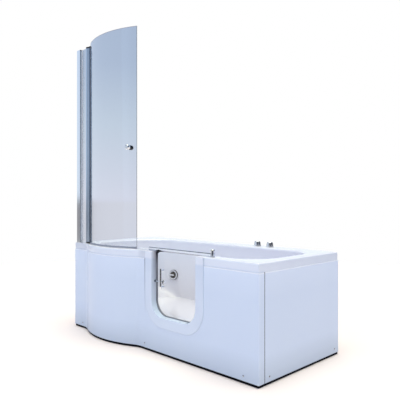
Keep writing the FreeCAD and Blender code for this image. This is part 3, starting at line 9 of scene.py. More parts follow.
import bpy
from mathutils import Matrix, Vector


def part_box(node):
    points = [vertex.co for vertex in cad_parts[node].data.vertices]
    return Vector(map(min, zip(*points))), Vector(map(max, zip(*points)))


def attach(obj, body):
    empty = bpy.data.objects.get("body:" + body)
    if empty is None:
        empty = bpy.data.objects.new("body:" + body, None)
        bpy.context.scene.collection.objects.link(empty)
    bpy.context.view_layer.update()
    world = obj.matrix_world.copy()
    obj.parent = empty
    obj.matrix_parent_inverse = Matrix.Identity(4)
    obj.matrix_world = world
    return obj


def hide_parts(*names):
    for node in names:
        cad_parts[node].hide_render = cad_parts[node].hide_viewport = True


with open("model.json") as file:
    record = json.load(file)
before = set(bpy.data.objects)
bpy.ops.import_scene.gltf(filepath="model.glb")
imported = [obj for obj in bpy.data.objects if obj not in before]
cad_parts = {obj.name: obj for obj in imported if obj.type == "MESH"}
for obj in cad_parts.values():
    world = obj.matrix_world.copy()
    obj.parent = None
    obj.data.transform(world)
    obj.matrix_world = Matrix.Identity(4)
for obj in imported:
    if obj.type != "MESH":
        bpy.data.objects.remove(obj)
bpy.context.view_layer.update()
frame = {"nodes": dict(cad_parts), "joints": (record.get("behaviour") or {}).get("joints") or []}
NODES = frame["nodes"]
JOINTS = {joint["name"]: joint for joint in frame["joints"]}

# Corners of the nodes that finishes and new pieces are placed by
TUB_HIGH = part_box("tub_shell")[1]
SEAL_LOW, SEAL_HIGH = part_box("door_seal")
DOOR_PANE_LOW, DOOR_PANE_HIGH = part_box("door_glass")
RAIL_LOW, RAIL_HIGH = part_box("door_rail")

# Origin and directions
ORIGIN = (0.0, 0.0, 0.0)
LENGTHWISE = (1.0, 0.0, 0.0)
TO_WALL = (0.0, 1.0, 0.0)
UPWARD = (0.0, 0.0, 1.0)

# Camera, as the photograph was taken
CAMERA_AT = Vector((2.264, -2.165, 0.904))
CAMERA_TOWARDS = Vector((-1.0, 1.0, 0.0))
FIELD_OF_VIEW = math.radians(45.0)

# Light: a graded sky is rows of (height of the direction, colour)
DAYLIGHT = (0.355, 0.39, 0.62)
SEEN_THROUGH_GLASS = (
    (-0.3, (0.99, 0.98, 0.97)),
    (-0.1, (0.7, 0.714, 0.8)),
    (-0.006, (0.705, 0.718, 0.805)),
    (0.0, (0.71, 0.727, 0.84)),
    (0.153, (0.568, 0.65, 0.767)),
    (0.27, (0.44, 0.525, 0.68)),
    (0.6, (0.38, 0.47, 0.64)),
)
MIRRORED_LIT = (
    (-0.1, (0.85, 0.86, 0.9)),
    (-0.085, (0.34, 0.325, 0.335)),
    (-0.004, (0.32, 0.31, 0.325)),
    (0.004, (0.76, 0.84, 0.95)),
    (0.35, (0.66, 0.77, 0.95)),
    (0.48, (0.06, 0.07, 0.09)),
    (0.75, (0.06, 0.07, 0.09)),
    (0.88, (0.95, 0.97, 1.0)),
)
MIRRORED_SHADED = (
    (-0.35, (0.5, 0.5, 0.52)),
    (-0.1, (0.07, 0.075, 0.095)),
    (0.5, (0.035, 0.04, 0.055)),
    (0.72, (0.05, 0.06, 0.08)),
    (0.8, (0.95, 0.97, 1.0)),
)
# Lengthwise part of a direction, from where the mirrored sky is lit to where it is shaded
SHADE_FROM, SHADE_TO = -0.2, 0.08
BACKDROP = (1.0, 1.0, 1.0)
OVERHEAD_STRENGTH = 2.52
OVERHEAD_COLOUR = (1.0, 0.985, 0.77)
OVERHEAD_SPREAD = math.radians(60.0)
OVERHEAD_TILT = math.radians(5.0)
FRONT_FILL_POWER = 27.0
FRONT_FILL_COLOUR = (0.48, 0.7, 1.0)
FRONT_FILL_AT = Vector((0.2, -5.0, 1.6))
FRONT_FILL_SIZE = 4.0

# Stage
FLOOR_R = 4.5
FLOOR_SIDES = 96
FLOOR_DROP = 0.0005
FLOOR_COLOUR = (1.0, 0.905, 0.825)

# Widths over which a line drawn in a finish begins
CRISP_FADE = 0.0004
LINE_FADE = 0.0008

# Finish of the tub: basin, rim, fascia, door portal and the jamb on the closing side, with painted shade on
# the basin, fascia, portal and jamb
RIM_Z = TUB_HIGH.z
BASIN_BEFORE_SEAL = 0.0045
BASIN_FRONT_Y = SEAL_LOW.y - BASIN_BEFORE_SEAL
BASIN_FADE = 0.02
BASIN_LOW_Z, BASIN_HIGH_Z = 0.2, 0.52
FASCIA_BELOW_RIM = 0.002
FASCIA_TOP_FADE = 0.004
FASCIA_H = 0.046
FASCIA_BOTTOM_Z = RIM_Z - FASCIA_H
FASCIA_END_W = 0.03
FASCIA_END_FADE = 0.01
PORTAL_OVERLAP = 0.01
PORTAL_TOP_FADE = 0.014
PORTAL_BACK_FADE = 0.012
LIP_FROM_FACE = 0.0209
LIP_X = SEAL_LOW.x + LIP_FROM_FACE
JAMB_REACH = 0.03
JAMB_DEPTH = 0.035
JAMB_BEHIND = 0.012
JAMB_BACK_FADE = 0.002
JAMB_LOW_Z = 0.3

# Finish of the panels: painted shade towards the floor and in the gap by the door frame, and a painted
# highlight on the top edge
PANEL_EDGE_H = 0.0065
JOINT_FROM_SEAL = 0.053
JOINT_LOW_Z = 0.22
OPENING_MIDDLE_X = (SEAL_LOW.x + SEAL_HIGH.x) / 2.0

# Finish of the glass, the profiles and the door
PANES = ("screen_glass", "infill_glass", "door_glass")
GLASS_EDGE_H = 0.0045
# Painted highlight: pale strip in the channel by the pane
PANE_HIGHLIGHT_T = 0.0045
# Painted shade along the rail's foot and a painted dark reflection along its top edge
RAIL_FOOT_H = 0.0077
RAIL_FOOT_FADE = 0.0024
RAIL_EDGE_H = 0.0045
RAIL_TOP_H = 0.0003
# Painted shade: a black wedge on the rail in the closing corner
SHADE_WEDGE_FROM_SEAL = 0.03
SHADE_WEDGE_UP = 0.012
SHADE_WEDGE_POINT = (SEAL_LOW.x + SHADE_WEDGE_FROM_SEAL, 0.0, RAIL_LOW.z + SHADE_WEDGE_UP)
SHADE_WEDGE_SLOPE = 0.28
SHADE_WEDGE_FADE = 0.001
# Painted dark reflection on the latch bar's face
LATCH_REFLECTION_T = 0.0035
LATCH_REFLECTION_UP = 0.014
# Painted dark reflection round the edge of the bolt's knob
KNOB_EDGE_R = 0.0112
# Painted shade that turns the door seal black towards its top
SEAL_DARK_H = 0.006
SEAL_DARK_Z = SEAL_HIGH.z - SEAL_DARK_H
SEAL_DARK_FADE = 0.06

# Finish of the valves and the waste control
PLATING_BELOW_RIM = 0.0008
# Painted shade: black edge round the rosette
ROSETTE_EDGE_R = 0.0345
GRIP_FROM = 0.0248

# Threads and nuts
STEPS_A_TURN = 20
STUD_PITCH = 0.00175
STUD_DEPTH = 0.00107
STUD_CENTRE_SHARE = 0.3
STUD_TIP_SHARE = 0.8
TAIL_PITCH = 0.00181
TAIL_CREST_R = 0.01083
TAIL_ROOT_R = 0.0102
TAIL_THREAD_H = 0.017
NUT_SIDES = 72
NUT_CHAMFER = math.radians(30.0)
NUT_FACE_SHARE = 0.98
LOCK_NUT_BORE_R = 0.006
VALVE_NUT_BORE_R = 0.012
SHARP = math.radians(28.0)
# Points of one upright solid lie nearer together than this, seen from above
NEAR = 0.05

# Moulded end of the door gasket, whose black also stands for painted shade in the closing corner
CORNER_BELOW_RIM = 0.0008
CORNER_TOP_Z = RIM_Z - CORNER_BELOW_RIM
CORNER_FRONT_GAP = 0.0005
CORNER_FRONT_Y = SEAL_LOW.y + CORNER_FRONT_GAP
CORNER_BACK_GAP = 0.0043
CORNER_BACK_Y = DOOR_PANE_LOW.y - CORNER_BACK_GAP
CORNER_W = 0.042
CORNER_H = 0.02
CORNER_TIP = 0.0025
CORNER_HOLLOW = 2.2
CORNER_EASE = 0.0007
CORNER_EASE_SHARE = 0.9
CORNER_STEPS = 12

# Tones: a pair is two close colours that a finish is mottled with
RIM_TONES = ((0.895, 0.905, 0.92), (0.915, 0.925, 0.935))
BASIN_TONES = ((0.94, 0.95, 0.99), (0.955, 0.96, 0.99))
# Painted shade: the basin darkens towards its floor
BASIN_LOW_SHADE_TONES = ((0.755, 0.745, 0.795), (0.775, 0.765, 0.815))
# Painted shade: the shell's fascia and door portal are darker and bluer than its rim, near the panels in
# tone
FASCIA_SHADE_TONES = ((0.79, 0.86, 0.93), (0.805, 0.875, 0.94))
PORTAL_SHADE_TONES = ((0.655, 0.755, 0.865), (0.67, 0.77, 0.88))
# Painted shade in the jamb on the closing side
JAMB_SHADE_TONE = (0.2, 0.205, 0.245)
# Panel by height, painted shade that darkens towards the floor: rows of (height, pair of tones)
PANEL_SHADE_CLIMB = (
    (0.015, ((0.555, 0.64, 0.72), (0.575, 0.66, 0.74))),
    (0.15, ((0.66, 0.758, 0.87), (0.68, 0.778, 0.89))),
    (0.42, ((0.685, 0.787, 0.895), (0.705, 0.807, 0.915))),
    (0.55, ((0.745, 0.845, 0.95), (0.765, 0.865, 0.965))),
)
# Painted highlight along the panels' top edge
PANEL_EDGE_HIGHLIGHT_TONES = ((0.86, 0.92, 0.98), (0.88, 0.94, 0.99))
# Painted shade in the gap beside the door frame
JOINT_SHADE_TONE = (0.2, 0.23, 0.3)
SCREEN_GLASS_TONES = ((0.9, 0.925, 0.94), (0.92, 0.94, 0.95))
DOOR_GLASS_TONES = ((0.95, 0.965, 0.965), (0.965, 0.975, 0.975))
GLASS_EDGE_TONE = (0.74, 0.7, 0.71)
CHROME_TONES = ((0.8, 0.82, 0.85), (0.86, 0.87, 0.89))
BLACK_CHROME = (0.012, 0.013, 0.017)
BLACK_CHROME_TONES = (BLACK_CHROME, (0.04, 0.043, 0.052))
RAIL_TONES = ((0.8, 0.85, 0.94), (0.86, 0.9, 0.96))
# Painted shade and painted dark reflection on the rail
RAIL_SHADE_AND_REFLECTION_TONE = (0.46, 0.49, 0.57)
# Painted dark reflection on the latch bar
LATCH_REFLECTION_TONE = (0.09, 0.095, 0.11)
KNOB_EDGE_REFLECTION_TONE = (0.12, 0.125, 0.15)
BRIGHT_PROFILE_TONES = ((0.8, 0.85, 0.9), (0.86, 0.9, 0.94))
CHANNEL_TONES = ((0.5, 0.54, 0.58), (0.56, 0.6, 0.64))
# Painted highlight in the channel by the pane
PANE_HIGHLIGHT_TONE = (0.92, 0.95, 0.99)
POST_TONES = ((0.47, 0.56, 0.67), (0.51, 0.6, 0.71))
TUBE_TONES = ((0.055, 0.095, 0.165), (0.075, 0.12, 0.19))
CAP_TONES = ((0.02, 0.022, 0.026), (0.03, 0.032, 0.036))
# Near-black rubber, whose black also stands for painted shade in the gaps under and between the panels
PLINTH_TONES = ((0.003, 0.003, 0.004), (0.006, 0.006, 0.008))
DOOR_SEAL_TONES = ((0.19, 0.2, 0.23), (0.23, 0.24, 0.27))
# Painted shade at the top of the door seal
DOOR_SEAL_TOP_SHADE_TONE = (0.02, 0.02, 0.024)
# Black rubber of the gasket's moulded end, which also stands for painted shade in the closing corner
CORNER_SHADE_TONES = ((0.012, 0.012, 0.015), (0.02, 0.02, 0.024))
GLASS_GASKET_TONES = ((0.2, 0.21, 0.24), (0.24, 0.25, 0.28))
DRIP_SEAL_TONES = ((0.34, 0.36, 0.41), (0.4, 0.42, 0.47))
FOOT_TONES = ((0.02, 0.02, 0.022), (0.032, 0.032, 0.034))
FRAME_TONES = ((0.3, 0.32, 0.35), (0.35, 0.37, 0.4))
ZINC_TONES = ((0.6, 0.61, 0.63), (0.68, 0.69, 0.7))
SCREW_CAP_TONES = ((0.42, 0.45, 0.52), (0.5, 0.53, 0.6))
BOARD_TONES = ((0.5, 0.36, 0.2), (0.68, 0.52, 0.32))
BRASS_TONES = ((0.68, 0.52, 0.25), (0.76, 0.6, 0.32))
COPPER_TONES = ((0.72, 0.4, 0.26), (0.8, 0.48, 0.33))
WASTE_TONES = ((0.78, 0.79, 0.8), (0.84, 0.85, 0.86))
# Black overflow body, which also stands for painted shade in the gap behind the rosette
OVERFLOW_TONES = ((0.012, 0.012, 0.014), (0.02, 0.02, 0.022))
SLEEVE_TONES = ((0.04, 0.042, 0.046), (0.06, 0.062, 0.066))

# Roughness of metals, from their smooth to their dull patches
POLISHED = (0.03, 0.09)
DARK_POLISHED = (0.04, 0.1)
SATIN = (0.2, 0.28)

# Sheen of moulded rubber
RUBBER_SPECULAR = 0.35

# Noise that mottles a finish, in patches to the metre, and the range that most of its values fall in
CLOUD_SCALE = 2.2
PLATING_SCALE = 28.0
RUBBER_SCALE = 40.0
NOISE_LOW, NOISE_HIGH = 0.3, 0.7

# Sockets of a mix node that carry colours
MIX_COLOURS = slice(6, 8)
MIX_RESULT = 2


# Material graphs

class Finish:
    """One procedural material: a surface shader and the textures that drive it."""

    def __init__(self, name, **constants):
        self.material = bpy.data.materials.new(name)
        self.material.use_nodes = True
        tree = self.material.node_tree
        self.nodes, self.links = tree.nodes, tree.links
        self.shader = self.nodes["Principled BSDF"]
        self.coords = self.nodes.new("ShaderNodeTexCoord").outputs["Object"]
        for socket, value in constants.items():
            self.shader.inputs[socket.replace("_", " ")].default_value = value

    def feed(self, socket, output):
        self.links.new(output, self.shader.inputs[socket])

    def noise(self, scale, detail=3.0, stretch=(1.0, 1.0, 1.0)):
        mapping = self.nodes.new("ShaderNodeMapping")
        mapping.inputs["Scale"].default_value = stretch
        self.links.new(self.coords, mapping.inputs["Vector"])
        node = self.nodes.new("ShaderNodeTexNoise")
        node.inputs["Scale"].default_value = scale
        node.inputs["Detail"].default_value = detail
        self.links.new(mapping.outputs["Vector"], node.inputs["Vector"])
        return node.outputs["Fac"]

    def cells(self, scale):
        node = self.nodes.new("ShaderNodeTexVoronoi")
        node.inputs["Scale"].default_value = scale
        self.links.new(self.coords, node.inputs["Vector"])
        return node.outputs["Distance"]

    def vector(self, operation, first, second=None):
        node = self.nodes.new("ShaderNodeVectorMath")
        node.operation = operation
        self.links.new(first, node.inputs[0])
        if second is not None:
            node.inputs[1].default_value = second
        return node.outputs["Value" if operation in ("DOT_PRODUCT", "LENGTH") else "Vector"]

    def span(self, value, from_low, from_high, to_low=0.0, to_high=1.0):
        node = self.nodes.new("ShaderNodeMapRange")
        for socket, number in zip(("From Min", "From Max", "To Min", "To Max"),
                                  (from_low, from_high, to_low, to_high)):
            node.inputs[socket].default_value = number
        self.links.new(value, node.inputs["Value"])
        return node.outputs["Result"]

    def along(self, axis, start, end, place=ORIGIN):
        """Share of the way from start to end, measured along an axis from a place."""
        reach = self.vector("DOT_PRODUCT", self.vector("SUBTRACT", self.coords, place), axis)
        return self.span(reach, start, end)

    def beyond(self, axis, level, fade, place=ORIGIN):
        """Nothing up to a level along an axis, and all from a fade further on."""
        return self.along(axis, level, level + fade, place)

    def before(self, axis, level, fade, place=ORIGIN):
        """Nothing from a level along an axis on, and all up to a fade short of it."""
        return self.along(axis, level, level - fade, place)

    def out_from(self, axis, radius, fade, place):
        """Nothing within a radius of an axis through a place, and all from a fade further out."""
        arm = self.vector("SUBTRACT", self.coords, place)
        reach = self.vector("LENGTH", self.vector("CROSS_PRODUCT", arm, axis))
        return self.span(reach, radius, radius + fade)

    def combine(self, operation, first, second):
        node = self.nodes.new("ShaderNodeMath")
        node.operation = operation
        self.links.new(first, node.inputs[0])
        self.links.new(second, node.inputs[1])
        return node.outputs["Value"]

    def all_of(self, first, *others):
        """Share of the places where every one of the shares holds."""
        for other in others:
            first = self.combine("MULTIPLY", first, other)
        return first

    def either(self, first, second):
        return self.combine("MAXIMUM", first, second)

    def tint(self, share, first, second):
        """Mix of two colours, each a plain one or one already made."""
        node = self.nodes.new("ShaderNodeMix")
        node.data_type = "RGBA"
        self.links.new(share, node.inputs[0])
        for socket, colour in zip(node.inputs[MIX_COLOURS], (first, second)):
            if isinstance(colour, tuple):
                socket.default_value = (*colour, 1.0)
            else:
                self.links.new(colour, socket)
        return node.outputs[MIX_RESULT]

    def mottled(self, tones, scale, detail=3.0):
        """Pair of tones in soft patches."""
        return self.tint(self.noise(scale, detail), *tones)

    def gloss(self, share, roughness):
        """Roughness from the first to the second of a pair."""
        self.feed("Roughness", self.span(share, NOISE_LOW, NOISE_HIGH, *roughness))

    def relief(self, height, strength, depth):
        node = self.nodes.new("ShaderNodeBump")
        node.inputs["Strength"].default_value = strength
        node.inputs["Distance"].default_value = depth
        self.links.new(height, node.inputs["Height"])
        self.feed("Normal", node.outputs["Normal"])


def acrylic(name, coat, specular):
    """Moulded sanitary acrylic, with a faint ripple of the vacuum forming."""
    f = Finish(name, IOR=1.49, Specular_IOR_Level=specular, Coat_Weight=coat, Coat_Roughness=0.04)
    f.gloss(f.noise(scale=34.0), roughness=(0.12, 0.2))
    f.relief(f.noise(scale=16.0, detail=1.0), strength=0.05, depth=0.001)
    return f


def bath_acrylic():
    """White basin and rim, with painted shade: the basin darker towards its floor, a fascia and door portal
    nearer to the panels in tone, and a darkened jamb.
    """
    f = acrylic("bath_acrylic", coat=0.25, specular=0.5)
    # Painted shade: the basin darkens towards its floor
    height = f.along(UPWARD, BASIN_LOW_Z, BASIN_HIGH_Z)
    basin = f.tint(height, f.mottled(BASIN_LOW_SHADE_TONES, CLOUD_SCALE), f.mottled(BASIN_TONES, CLOUD_SCALE))
    inside = f.beyond(TO_WALL, BASIN_FRONT_Y, BASIN_FADE)
    tone = f.tint(inside, f.mottled(RIM_TONES, CLOUD_SCALE), basin)
    # Painted shade on the shell's fascia and door portal
    outside = f.either(f.before(TO_WALL, BASIN_FRONT_Y, BASIN_FADE),
                       f.beyond(LENGTHWISE, TUB_HIGH.x - FASCIA_END_W, FASCIA_END_FADE))
    fascia = f.all_of(outside, f.before(UPWARD, RIM_Z - FASCIA_BELOW_RIM, FASCIA_TOP_FADE))
    tone = f.tint(fascia, tone, f.mottled(FASCIA_SHADE_TONES, CLOUD_SCALE))
    portal = f.all_of(f.before(TO_WALL, DOOR_PANE_HIGH.y, PORTAL_BACK_FADE),
                      f.before(UPWARD, FASCIA_BOTTOM_Z + PORTAL_OVERLAP, PORTAL_TOP_FADE))
    tone = f.tint(portal, tone, f.mottled(PORTAL_SHADE_TONES, CLOUD_SCALE))
    # Painted shade on the jamb, deepest towards the top and the seal
    jamb = f.all_of(f.before(LENGTHWISE, LIP_X + JAMB_REACH, LINE_FADE),
                    f.along(TO_WALL, SEAL_LOW.y - JAMB_DEPTH, SEAL_LOW.y),
                    f.before(TO_WALL, SEAL_LOW.y + JAMB_BEHIND, JAMB_BACK_FADE),
                    f.along(UPWARD, JAMB_LOW_Z, RIM_Z))
    f.feed("Base Color", f.tint(jamb, tone, JAMB_SHADE_TONE))
    return f.material


def panel_acrylic():
    """Satin panels with painted shade towards the floor, a painted highlight along the top edge and painted
    shade in the gap along the door frame.
    """
    f = acrylic("panel_acrylic", coat=0.03, specular=0.06)
    # Painted shade: the panels darken towards the floor
    below, tones = PANEL_SHADE_CLIMB[0]
    panel = f.mottled(tones, CLOUD_SCALE)
    for level, tones in PANEL_SHADE_CLIMB[1:]:
        panel = f.tint(f.along(UPWARD, below, level), panel, f.mottled(tones, CLOUD_SCALE))
        below = level
    # Painted highlight along the top edge
    edge = f.beyond(UPWARD, FASCIA_BOTTOM_Z - PANEL_EDGE_H, LINE_FADE)
    panel = f.tint(edge, panel, f.mottled(PANEL_EDGE_HIGHLIGHT_TONES, CLOUD_SCALE))
    # Painted shade in the gap beside the door frame, fading out downwards
    joint = f.all_of(f.beyond(LENGTHWISE, SEAL_LOW.x - JOINT_FROM_SEAL, LINE_FADE),
                     f.before(LENGTHWISE, OPENING_MIDDLE_X, LINE_FADE),
                     f.along(UPWARD, JOINT_LOW_Z, FASCIA_BOTTOM_Z))
    f.feed("Base Color", f.tint(joint, panel, JOINT_SHADE_TONE))
    return f.material


def clear_glass(name, tones, sheen, top):
    """Clear pane with a ground top edge; the sheen scales what it mirrors."""
    f = Finish(name, IOR=1.5, Transmission_Weight=1.0, Specular_Tint=(sheen, sheen, sheen, 1.0))
    edge = f.beyond(UPWARD, top - GLASS_EDGE_H, CRISP_FADE)
    f.feed("Base Color", f.tint(edge, f.mottled(tones, scale=1.4, detail=1.0), GLASS_EDGE_TONE))
    f.gloss(f.noise(scale=9.0), roughness=(0.0, 0.012))
    return f.material


def metal(name, roughness):
    """Plated or polished metal with a light haze of wiping marks."""
    f = Finish(name, Metallic=1.0)
    f.gloss(f.noise(scale=120.0, detail=4.0), roughness)
    f.relief(f.noise(scale=700.0, detail=2.0), strength=0.02, depth=0.0002)
    return f


def bright_metal(name, tones, roughness):
    f = metal(name, roughness)
    f.feed("Base Color", f.mottled(tones, PLATING_SCALE))
    return f.material


def rosette_chrome():
    """Polished face with painted shade as a black edge round the ring."""
    f = metal("rosette_chrome", POLISHED)
    turn = JOINTS["waste_turn"]
    # Painted shade as a black edge round the ring
    edge = f.out_from(turn["axis"], ROSETTE_EDGE_R, LINE_FADE, turn["pos_m"])
    f.feed("Base Color", f.tint(edge, f.mottled(CHROME_TONES, PLATING_SCALE), BLACK_CHROME))
    return f.material


def control_chrome():
    """Black body of the waste control, whose black also stands for painted shade in the rosette's recess,
    with its grip bar polished.
    """
    f = metal("control_chrome", DARK_POLISHED)
    turn = JOINTS["waste_turn"]
    grip = f.beyond(turn["axis"], GRIP_FROM, CRISP_FADE, turn["pos_m"])
    # Black body, which also stands for painted shade in the rosette's recess
    f.feed("Base Color", f.tint(grip, BLACK_CHROME, f.mottled(CHROME_TONES, PLATING_SCALE)))
    return f.material


def rail_chrome():
    """Polished rail with painted shade along its foot, a painted dark reflection along its top edge, and
    painted shade as a black wedge in the closing corner.
    """
    f = metal("rail_chrome", POLISHED)
    # Painted shade along the foot and a painted dark reflection along the top edge
    foot_shade = f.before(UPWARD, RAIL_LOW.z + RAIL_FOOT_H, RAIL_FOOT_FADE)
    top_reflection = f.all_of(f.beyond(UPWARD, RAIL_HIGH.z - RAIL_EDGE_H, LINE_FADE),
                        f.before(UPWARD, RAIL_HIGH.z - RAIL_TOP_H, CRISP_FADE))
    lines = f.either(foot_shade, top_reflection)
    plated = f.tint(lines, f.mottled(RAIL_TONES, PLATING_SCALE), RAIL_SHADE_AND_REFLECTION_TONE)
    # Painted shade as a black wedge in the closing corner
    sides = [f.before((slope, 0.0, 1.0), SHADE_WEDGE_FADE / 2.0, SHADE_WEDGE_FADE, SHADE_WEDGE_POINT)
             for slope in (-SHADE_WEDGE_SLOPE, SHADE_WEDGE_SLOPE)]
    f.feed("Base Color", f.tint(f.all_of(*sides), plated, BLACK_CHROME))
    return f.material


def latch_chrome():
    """Polished bar with a painted dark reflection on its face above the foot."""
    f = metal("latch_chrome", POLISHED)
    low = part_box("latch_plate")[0]
    # Painted dark reflection on the bar's face
    strip = f.all_of(f.before(TO_WALL, LATCH_REFLECTION_T + LINE_FADE, LINE_FADE, low),
                     f.beyond(UPWARD, LATCH_REFLECTION_UP, LINE_FADE, low))
    f.feed("Base Color", f.tint(strip, f.mottled(CHROME_TONES, PLATING_SCALE), LATCH_REFLECTION_TONE))
    return f.material


def bolt_chrome():
    """Polished bolt with a painted dark reflection round the edge of its knob."""
    f = metal("bolt_chrome", POLISHED)
    low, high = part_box("latch_bolt")
    # Painted dark reflection round the knob's edge
    edge = f.out_from(LENGTHWISE, KNOB_EDGE_R, CRISP_FADE, (low + high) / 2.0)
    f.feed("Base Color", f.tint(edge, f.mottled(CHROME_TONES, PLATING_SCALE), KNOB_EDGE_REFLECTION_TONE))
    return f.material


def valve_metal():
    """Raw brass under the rim, plated above it."""
    f = metal("valve_metal", roughness=(0.1, 0.24))
    above = f.beyond(UPWARD, RIM_Z - PLATING_BELOW_RIM, CRISP_FADE)
    brass, chrome = [f.mottled(tones, PLATING_SCALE) for tones in (BRASS_TONES, CHROME_TONES)]
    f.feed("Base Color", f.tint(above, brass, chrome))
    return f.material


def die_lines(f):
    """Fine lines that run the height of an extruded section."""
    return f.noise(scale=340.0, detail=2.0, stretch=(1.0, 1.0, 0.004))


def drawn_metal(name, tones, roughness):
    f = Finish(name, Metallic=1.0)
    lines = die_lines(f)
    f.feed("Base Color", f.tint(lines, *tones))
    f.gloss(f.noise(scale=180.0, detail=2.0, stretch=(1.0, 1.0, 0.01)), roughness)
    f.relief(lines, strength=0.015, depth=0.0002)
    return f.material


def channel_metal():
    """Grey channel with a painted highlight as a pale, unmetallic strip by the pane."""
    f = Finish("profile_groove", Roughness=0.25)
    pane_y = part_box("infill_glass")[0].y
    # Painted highlight by the pane
    strip = f.beyond(TO_WALL, pane_y - PANE_HIGHLIGHT_T, LINE_FADE)
    f.feed("Base Color", f.tint(strip, f.tint(die_lines(f), *CHANNEL_TONES), PANE_HIGHLIGHT_TONE))
    f.feed("Metallic", f.span(strip, from_low=0.0, from_high=1.0, to_low=1.0, to_high=0.0))
    return f.material


def coated_metal(name, tones):
    """Powder coat with its fine orange peel."""
    f = Finish(name, IOR=1.5)
    f.feed("Base Color", f.mottled(tones, scale=14.0))
    f.gloss(f.noise(scale=90.0), roughness=(0.35, 0.5))
    f.relief(f.noise(scale=520.0, detail=2.0), strength=0.12, depth=0.0004)
    return f.material


def rubber_skin(name, specular=RUBBER_SPECULAR):
    """Matt moulded rubber that still wants its colour."""
    f = Finish(name, IOR=1.5, Specular_IOR_Level=specular)
    f.gloss(f.noise(scale=160.0), roughness=(0.5, 0.7))
    f.relief(f.noise(scale=900.0, detail=2.0), strength=0.15, depth=0.0003)
    return f


def rubber(name, tones, specular=RUBBER_SPECULAR):
    f = rubber_skin(name, specular)
    f.feed("Base Color", f.mottled(tones, RUBBER_SCALE))
    return f.material


def door_rubber():
    """Grey gasket, darkened to black towards its top by painted shade."""
    f = rubber_skin("door_rubber")
    top = f.along(UPWARD, SEAL_DARK_Z - SEAL_DARK_FADE, SEAL_DARK_Z)
    f.feed("Base Color", f.tint(top, f.mottled(DOOR_SEAL_TONES, RUBBER_SCALE), DOOR_SEAL_TOP_SHADE_TONE))
    return f.material


def plastic(name, tones, roughness):
    f = Finish(name, IOR=1.48)
    f.feed("Base Color", f.mottled(tones, scale=24.0))
    f.gloss(f.noise(scale=80.0), roughness)
    f.relief(f.noise(scale=650.0, detail=2.0), strength=0.08, depth=0.0003)
    return f.material


def chipboard(name, tones):
    f = Finish(name, IOR=1.45, Specular_IOR_Level=0.3)
    chips = f.cells(scale=260.0)
    f.feed("Base Color", f.tint(f.span(chips, from_low=0.1, from_high=0.8), *tones))
    f.gloss(f.noise(scale=70.0), roughness=(0.65, 0.85))
    f.relief(chips, strength=0.3, depth=0.0008)
    return f.material


ZINC = bright_metal("zinc", ZINC_TONES, roughness=(0.2, 0.34))
CORNER_RUBBER = rubber("corner_rubber", CORNER_SHADE_TONES)
BRASS = bright_metal("brass", BRASS_TONES, roughness=(0.18, 0.3))

# Rows of (finish, nodes that wear it)
FINISHES = (
    (bath_acrylic(), ("tub_shell",)),
    (panel_acrylic(), ("front_panel", "end_panel")),
    (clear_glass("screen_glass", SCREEN_GLASS_TONES, sheen=1.0, top=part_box("screen_glass")[1].z),
     ("screen_glass", "infill_glass")),
    (clear_glass("door_glass", DOOR_GLASS_TONES, sheen=0.3, top=RIM_Z), ("door_glass",)),
    (bright_metal("chrome", CHROME_TONES, POLISHED),
     ("door_pivot_cap", "door_hinge_brackets", "door_hinge_clamps", "screen_knob_outer",
      "waste_flange", "waste_plug")),
    (bright_metal("handle_chrome", CHROME_TONES, SATIN), ("hot_handle", "cold_handle")),
    (bright_metal("black_chrome", BLACK_CHROME_TONES, DARK_POLISHED),
     ("latch_keeper", "screen_knob_inner")),
    (rail_chrome(), ("door_rail",)),
    (latch_chrome(), ("latch_plate",)),
    (bolt_chrome(), ("latch_bolt",)),
    (rosette_chrome(), ("rosette",)),
    (control_chrome(), ("waste_knob",)),
    (drawn_metal("profile_bright", BRIGHT_PROFILE_TONES, roughness=(0.06, 0.12)), ("wall_profile",)),
    (channel_metal(), ("adjusting_profile",)),
    (drawn_metal("profile_grey", POST_TONES, roughness=(0.16, 0.26)), ("hinge_post",)),
    (drawn_metal("profile_slate", TUBE_TONES, roughness=(0.12, 0.22)), ("hinge_tube",)),
    (plastic("cap_plastic", CAP_TONES, roughness=(0.3, 0.42)),
     ("pivot_cap_bottom", "pivot_cap_top", "hinge_bushes")),
    # Their near-black also stands for painted shade in the gaps under and between the panels
    (rubber("plinth_rubber", PLINTH_TONES, specular=0.05), ("plinth_front", "plinth_end", "joint_strip")),
    (door_rubber(), ("door_seal",)),
    (rubber("seal_rubber", GLASS_GASKET_TONES), ("glass_gasket",)),
    (rubber("drip_seal", DRIP_SEAL_TONES), ("screen_seal",)),
    (rubber("foot_rubber", FOOT_TONES), ("foot_pads",)),
    (coated_metal("frame_coat", FRAME_TONES),
     ("panel_rail_front", "panel_rail_end", "long_rails", "cross_rails", "rim_posts")),
    (ZINC, ("foot_studs", "lock_nuts", "knob_stud", "door_pivot_rod")),
    (bright_metal("screw_caps", SCREW_CAP_TONES, roughness=(0.2, 0.3)), ("panel_screws",)),
    (chipboard("chipboard", BOARD_TONES), ("base_board",)),
    (valve_metal(), ("hot_valve", "cold_valve")),
    (BRASS, ("valve_nuts",)),
    (bright_metal("copper", COPPER_TONES, roughness=(0.2, 0.34)), ("link_pipe", "filler_pipe")),
    (plastic("waste_plastic", WASTE_TONES, roughness=(0.3, 0.45)),
     ("overflow_pipe", "waste_body", "outlet_pipe")),
    # Its black also stands for painted shade in the gap behind the rosette
    (plastic("overflow_plastic", OVERFLOW_TONES, roughness=(0.35, 0.5)), ("overflow_body",)),
    (plastic("control_sleeve", SLEEVE_TONES, roughness=(0.4, 0.55)), ("control_tube",)),
)


def dress(node, material):
    """Gives a node from the frame its finish."""
    slots = NODES[node].data.materials
    slots.clear()
    slots.append(material)


for finish, worn_by in FINISHES:
    for node_name in worn_by:
        dress(node_name, finish)
# A clear pane would cast the shadow of an opaque sheet
for pane in PANES:
    NODES[pane].visible_shadow = False


# Threads, nuts and the moulded end of the door gasket

